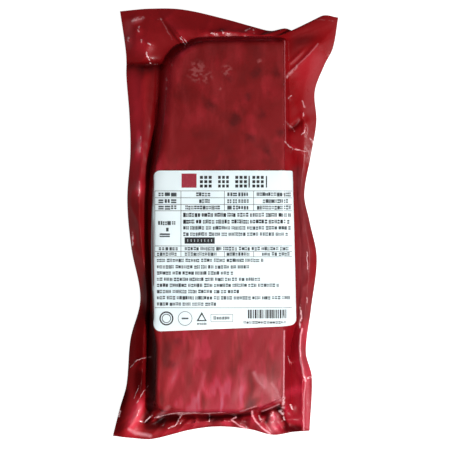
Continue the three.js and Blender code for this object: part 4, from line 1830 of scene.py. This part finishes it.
@dataclass
class LabelPrint:
    """The label's print, as plain fields, rules, blocks and simple shapes, with no lettering."""

    step: float = 0.65
    gap: float = 0.05
    thickness: float = 0.02
    seed: int = 7

    title_blocks: Pairs = ((-16.5, -8.8), (-4.6, 2.4), (6.6, 14.2), (17.8, 25.2))
    title_grid: tuple[int, int] = (3, 3)
    title_gap: float = 0.9
    title_y: tuple[float, float] = (24.2, 31.8)
    title_stems: Pairs = ((15.3, 16.1), (26.6, 27.4))
    square: Box = (-28.5, -18.7, 24.1, 33.3)

    table_rules: tuple[float, ...] = (22.0, 17.5, 13.1, 9.0, -14.0, -17.6, -21.1)
    table_x: tuple[float, float] = (-46.0, 43.9)
    table_columns: tuple[float, ...] = (-28.9, -0.5, 18.6)
    rule_width: float = 0.3
    closing_rule: float = -54.4
    dark_field: Box = (-26.5, -6.8, -12.5, -8.4)
    dark_edge: float = 1.2
    dark_gap: float = 0.3
    dark_parts: int = 9

    word_marks: tuple[int, int] = (2, 7)
    mark_share: tuple[float, float] = (0.74, 0.94)
    mark_unevenness: float = 0.14
    least_mark: float = 0.5
    word_space: float = 0.4

    bar_field: Box = (14.8, 40.4, -61.4, -55.6)
    bar_widths: tuple[float, ...] = (0.4, 0.7, 1.1)
    bar_gaps: tuple[float, ...] = (0.3, 0.4, 0.6)
    black_rings: tuple[Ring, ...] = (Ring((-38.4, -61.4), 4.6, 0.9), Ring((-15.3, -61.2), 4.0, 0.8, 3))
    grey_rings: tuple[Ring, ...] = (Ring((-26.2, -61.4), 4.7, 0.35), Ring((-38.4, -61.4), 3.0, 0.5))
    frame_box: Box = (-9.3, 5, -63.5, -58.7)
    frame_line: float = 0.26
    dash: Box = (-28.4, -24, -61.9, -60.9)

    def __post_init__(self) -> None:
        """Starts the flat body that everything is added to, and the random numbers."""
        self.body = bmesh.new()
        self.random = np.random.default_rng(self.seed)

    def rows(self) -> tuple[WordRow, ...]:
        """Lists the rows of small print.

        Returns:
            The rows, from the top of the label down.
        """
        cells = []
        for y, second, fourth in (
            (19.7, (-19, -9.6), (20.6, 43.4)),
            (15.3, (-17, -10), (24.6, 42.4)),
            (11.1, (-26, -3.2), (20.8, 43)),
        ):
            for ends, cell in (((-43.6, -31.4), 4.1), (second, 1.9), ((1.4, 16.6), 3.6), (fourth, 1.9)):
                cells.append(WordRow(*ends, y, cell=cell, spaced=False))
        body = [
            WordRow(-27.4, 43.4, 6.3, ink=Ink.BLACK),
            WordRow(-27.4, 43.4, 1.9, ink=Ink.BLACK),
            WordRow(-27.4, 43, -2.2, 2.5),
            WordRow(-27.4, 41.4, -6.3, 2.5),
            WordRow(-43.8, -31.6, 1.0, cell=3, spaced=False),
            WordRow(-38.6, -36, -3.3, spaced=False),
            WordRow(-42.8, -32.6, -7.2, cell=7.6, spaced=False),
            WordRow(-43.4, -31, -15.8, 2.4, 4.4, spaced=False),
            WordRow(-26.4, 43, -15.8, 2.4),
            WordRow(-44.6, -30.6, -19.3, 2.4, spaced=False),
            WordRow(-26.4, -4.8, -19.3, 2.4, spaced=False),
            WordRow(1, 16.4, -19.3, 2.4, spaced=False),
            WordRow(24, 42.6, -19.3, 2.4),
        ]
        ends = (25.2, 16.4, 5.8, 24.4, 35, 9.1, 42.8, -6)
        heights = (-23.4, -27.7, -31.7, -35.8, -39.7, -43.8, -47.9, -52.0)
        notes = [WordRow(-44.6, end, y, 2.4) for end, y in zip(ends, heights)]
        last = [
            WordRow(-18.2, -12.2, -64.9, 1.5, 1.6, spaced=False),
            WordRow(-7.6, 3.4, -61.1, 2.2, 2.1, spaced=False),
            WordRow(12, 39.6, -64.0, 1.7, spaced=False),
        ]
        return (*cells, *body, *notes, *last)

    def block(self, box: Box) -> None:
        """Adds a flat rectangle, divided so that it can bend.

        Args:
            box: Its sides.
        """
        left, right, bottom, top = box
        size = Vector((right - left, top - bottom, 1))
        centre = Vector(((left + right) / 2, (bottom + top) / 2, 0))
        bmesh.ops.create_grid(
            self.body,
            x_segments=max(1, round(size.x / self.step)),
            y_segments=max(1, round(size.y / self.step)),
            size=0.5,
            matrix=Matrix.LocRotScale(centre, None, size),
        )

    def rule(self, box: Box, width: float) -> None:
        """Adds a line along a box that has no height or no width.

        Args:
            box: The line's ends.
            width: Its width.
        """
        left, right, bottom, top = box
        across, up = (0, width / 2) if bottom == top else (width / 2, 0)
        self.block((left - across, right + across, bottom - up, top + up))

    def grid(self, box: Box, columns: int, rows: int, gap: float) -> None:
        """Fills a box with even rectangles.

        Args:
            box: The sides of all of them.
            columns: How many lie side by side.
            rows: How many lie one above the other.
            gap: The space between them.
        """
        left, right, bottom, top = box
        across, up = (right - left + gap) / columns, (top - bottom + gap) / rows
        for column, row in itertools.product(range(columns), range(rows)):
            x, y = left + column * across, bottom + row * up
            self.block((x, x + across - gap, y, y + up - gap))

    def words(self, row: WordRow) -> None:
        """Adds a row of marks.

        Args:
            row: The row, in words of random lengths and marks of random shapes.
        """
        x, left = row.start, int(self.random.integers(*self.word_marks))
        while x + row.cell * self.least_mark < row.end:
            width = min(row.cell * float(self.random.uniform(*self.mark_share)), row.end - x)
            uneven = [float(self.random.uniform(0, self.mark_unevenness)) for _ in range(2)]
            drop, rise = (row.height * (0.5 - share) for share in uneven)
            low, tall = row.y - drop, drop + rise
            for start, end, bottom, top in self.random.choice(list(Mark)).value:
                box = (x + start * width, x + end * width, low + bottom * tall, low + top * tall)
                self.block(box)
            x += row.cell
            left -= 1
            if row.spaced and left == 0:
                x += row.cell * self.word_space
                left = int(self.random.integers(*self.word_marks))

    def title(self) -> None:
        """Adds the title's grids and stems."""
        for ends in self.title_blocks:
            self.grid((*ends, *self.title_y), *self.title_grid, self.title_gap)
        for ends in self.title_stems:
            self.block((*ends, *self.title_y))

    def table(self) -> None:
        """Adds the table's rules, the closing rule, and the dark field with its pale gaps."""
        high, _, _, low, under, last, bottom = self.table_rules
        first = self.table_columns[0]
        edge = self.table_x[0]
        rules = [(*self.table_x, y, y) for y in (*self.table_rules, self.closing_rule)]
        rules.append((edge, edge, bottom, high))
        for x in self.table_columns:
            rules += [(x, x, low, high), (x, x, bottom, under if x == first else last)]
        rules.append((first, first, under, low))
        for box in rules:
            self.rule(box, self.rule_width)
        left, right, bottom, top = self.dark_field
        inside = (bottom + self.dark_edge, top - self.dark_edge)
        self.block((left, right, bottom, inside[0]))
        self.block((left, right, inside[1], top))
        self.grid((left, right, *inside), self.dark_parts, 1, self.dark_gap)

    def bars(self) -> None:
        """Adds a field of upright bars."""
        x, end, low, high = self.bar_field
        while x < end:
            width = float(self.random.choice(self.bar_widths))
            self.block((x, min(x + width, end), low, high))
            x += width + float(self.random.choice(self.bar_gaps))

    def shapes(self, ink: Ink) -> None:
        """Adds what one ink prints apart from the small print.

        Args:
            ink: The ink.
        """
        if ink is Ink.BLACK:
            self.title()
            self.table()
            self.bars()
            for ring in self.black_rings:
                ring.add(self.body)
        elif ink is Ink.GREY:
            for ring in self.grey_rings:
                ring.add(self.body)
            left, right, bottom, top = self.frame_box
            for y in (top, bottom):
                self.rule((left, right, y, y), self.frame_line)
            for x in (left, right):
                self.rule((x, x, bottom, top), self.frame_line)
            self.block(self.dash)
        else:
            self.block(self.square)

    def build(self, drape: Drape, dresser: Dresser) -> bpy.types.Object:
        """Makes the print.

        Args:
            drape: What lays it on the label.
            dresser: What its inks are made with.

        Returns:
            The piece.
        """
        body = self.body
        done = 0
        for index, ink in enumerate(Ink):
            self.shapes(ink)
            for row in self.rows():
                if row.ink is ink:
                    self.words(row)
            body.faces.ensure_lookup_table()
            for face in body.faces[done:]:
                face.material_index = index
            done = len(body.faces)
        bmesh.ops.solidify(body, geom=body.faces[:], thickness=1.0)

        def move(points: Array) -> Array:
            """Lays the print on the label."""
            return drape.lay(points, points[:, 0], points[:, 1], self.gap, self.thickness)

        piece = as_object("label_print", body, move)
        for ink in Ink:
            piece.data.materials.append(ink.value.make(dresser))
        return piece


# The studio


@dataclass(frozen=True)
class SoftBox:
    """An area light: its name, place, two sides in metres, power, aim and colour."""

    name: str
    place: Triple
    sides: tuple[float, float]
    power: float
    aim: Triple = (0.0, 0.0, 0.0)
    colour: Colour = (1.0, 1.0, 1.0)

    def build(self) -> None:
        """Adds the light."""
        light = bpy.data.lights.new(self.name, "AREA")
        light.shape = "RECTANGLE"
        light.size, light.size_y = self.sides
        light.energy = self.power
        light.color = self.colour
        lamp = bpy.data.objects.new(self.name, light)
        lamp.location = self.place
        way = Vector(self.aim) - Vector(self.place)
        lamp.rotation_euler = way.to_track_quat("-Z", "Y").to_euler()
        lamp.visible_camera = False
        bpy.context.scene.collection.objects.link(lamp)


@dataclass(frozen=True)
class Studio:
    """A pale floor, soft light and a camera straight above the pack."""

    floor_half: float = 6.0
    floor_colour: Colour = (0.4, 0.4, 0.4)
    floor_roughness: float = 0.9
    glow_colour: Colour = (1.0, 1.0, 1.0)
    floor_glow: float = 0.97
    world_colour: Colour = (0.93, 0.97, 1.0)
    world_strength: float = 0.11
    camera_height: float = 1.66
    lens: float = 200.0
    sees_to: float = 20.0
    camera_at: tuple[float, float] = (-0.0001, -0.0003)
    lights: tuple[SoftBox, ...] = (
        SoftBox("main_light", (0.14, -0.26, 0.44), (0.035, 0.035), 2.4),
        SoftBox("right_light", (0.42, 0.02, 0.3), (0.4, 0.05), 1.0),
        SoftBox("dim_light", (0.9, -0.9, 1.0), (1.1, 1.1), 4.0),
    )

    def build(self, dresser: Dresser) -> bpy.types.Object:
        """Makes the studio.

        Args:
            dresser: What the floor's material is made with.

        Returns:
            The floor.
        """
        body = bmesh.new()
        bmesh.ops.create_grid(body, x_segments=1, y_segments=1, size=self.floor_half)
        floor = as_object("floor", body)
        paint = dresser.start("floor_white")
        # The camera sees the floor's glow, which lights nothing
        seen = paint.put("LightPath").outputs["Is Camera Ray"]
        inputs = {
            "Base Color": rgba(self.floor_colour),
            "Roughness": self.floor_roughness,
            "Emission Color": rgba(self.glow_colour),
            "Emission Strength": paint.maths("MULTIPLY", seen, self.floor_glow),
        }
        floor.data.materials.append(paint.finish(inputs))
        for light in self.lights:
            light.build()
        world = bpy.data.worlds.new("studio")
        world.use_nodes = True
        back = world.node_tree.nodes["Background"]
        back.inputs["Color"].default_value = rgba(self.world_colour)
        back.inputs["Strength"].default_value = self.world_strength
        scene = bpy.context.scene
        scene.world = world
        scene.view_settings.view_transform = "Standard"
        camera = bpy.data.objects.new("camera", bpy.data.cameras.new("camera"))
        camera.data.lens = self.lens
        camera.data.clip_end = self.sees_to
        camera.location = (*self.camera_at, self.camera_height)
        scene.collection.objects.link(camera)
        scene.camera = camera
        return floor


def main() -> None:
    """Builds and dresses the pack, piece by piece."""
    logging.basicConfig(level=logging.INFO, format="%(name)s: %(message)s")
    dresser = Dresser()
    pouch = FilmPouch().build(FilmFinish().make(dresser))
    drape = Drape(pouch)
    slab = BaconSlab().build(MeatFinish().make(dresser))
    paper = PaperLabel()
    label = paper.build(drape, PaperFinish().make(dresser))
    marks = LabelPrint().build(Drape(label), dresser)
    for piece, slot, node in (
        (pouch, "film", "pouch"),
        (slab, "film", "pouch"),
        (label, "label_paper", "label"),
        (marks, "label_paper", "label"),
    ):
        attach(piece, BODY)
        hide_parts(node)
        LOG.info("%s has %d faces", piece.name, len(piece.data.polygons))
    Studio().build(dresser)
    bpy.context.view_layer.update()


if __name__ == "__main__":
    main()
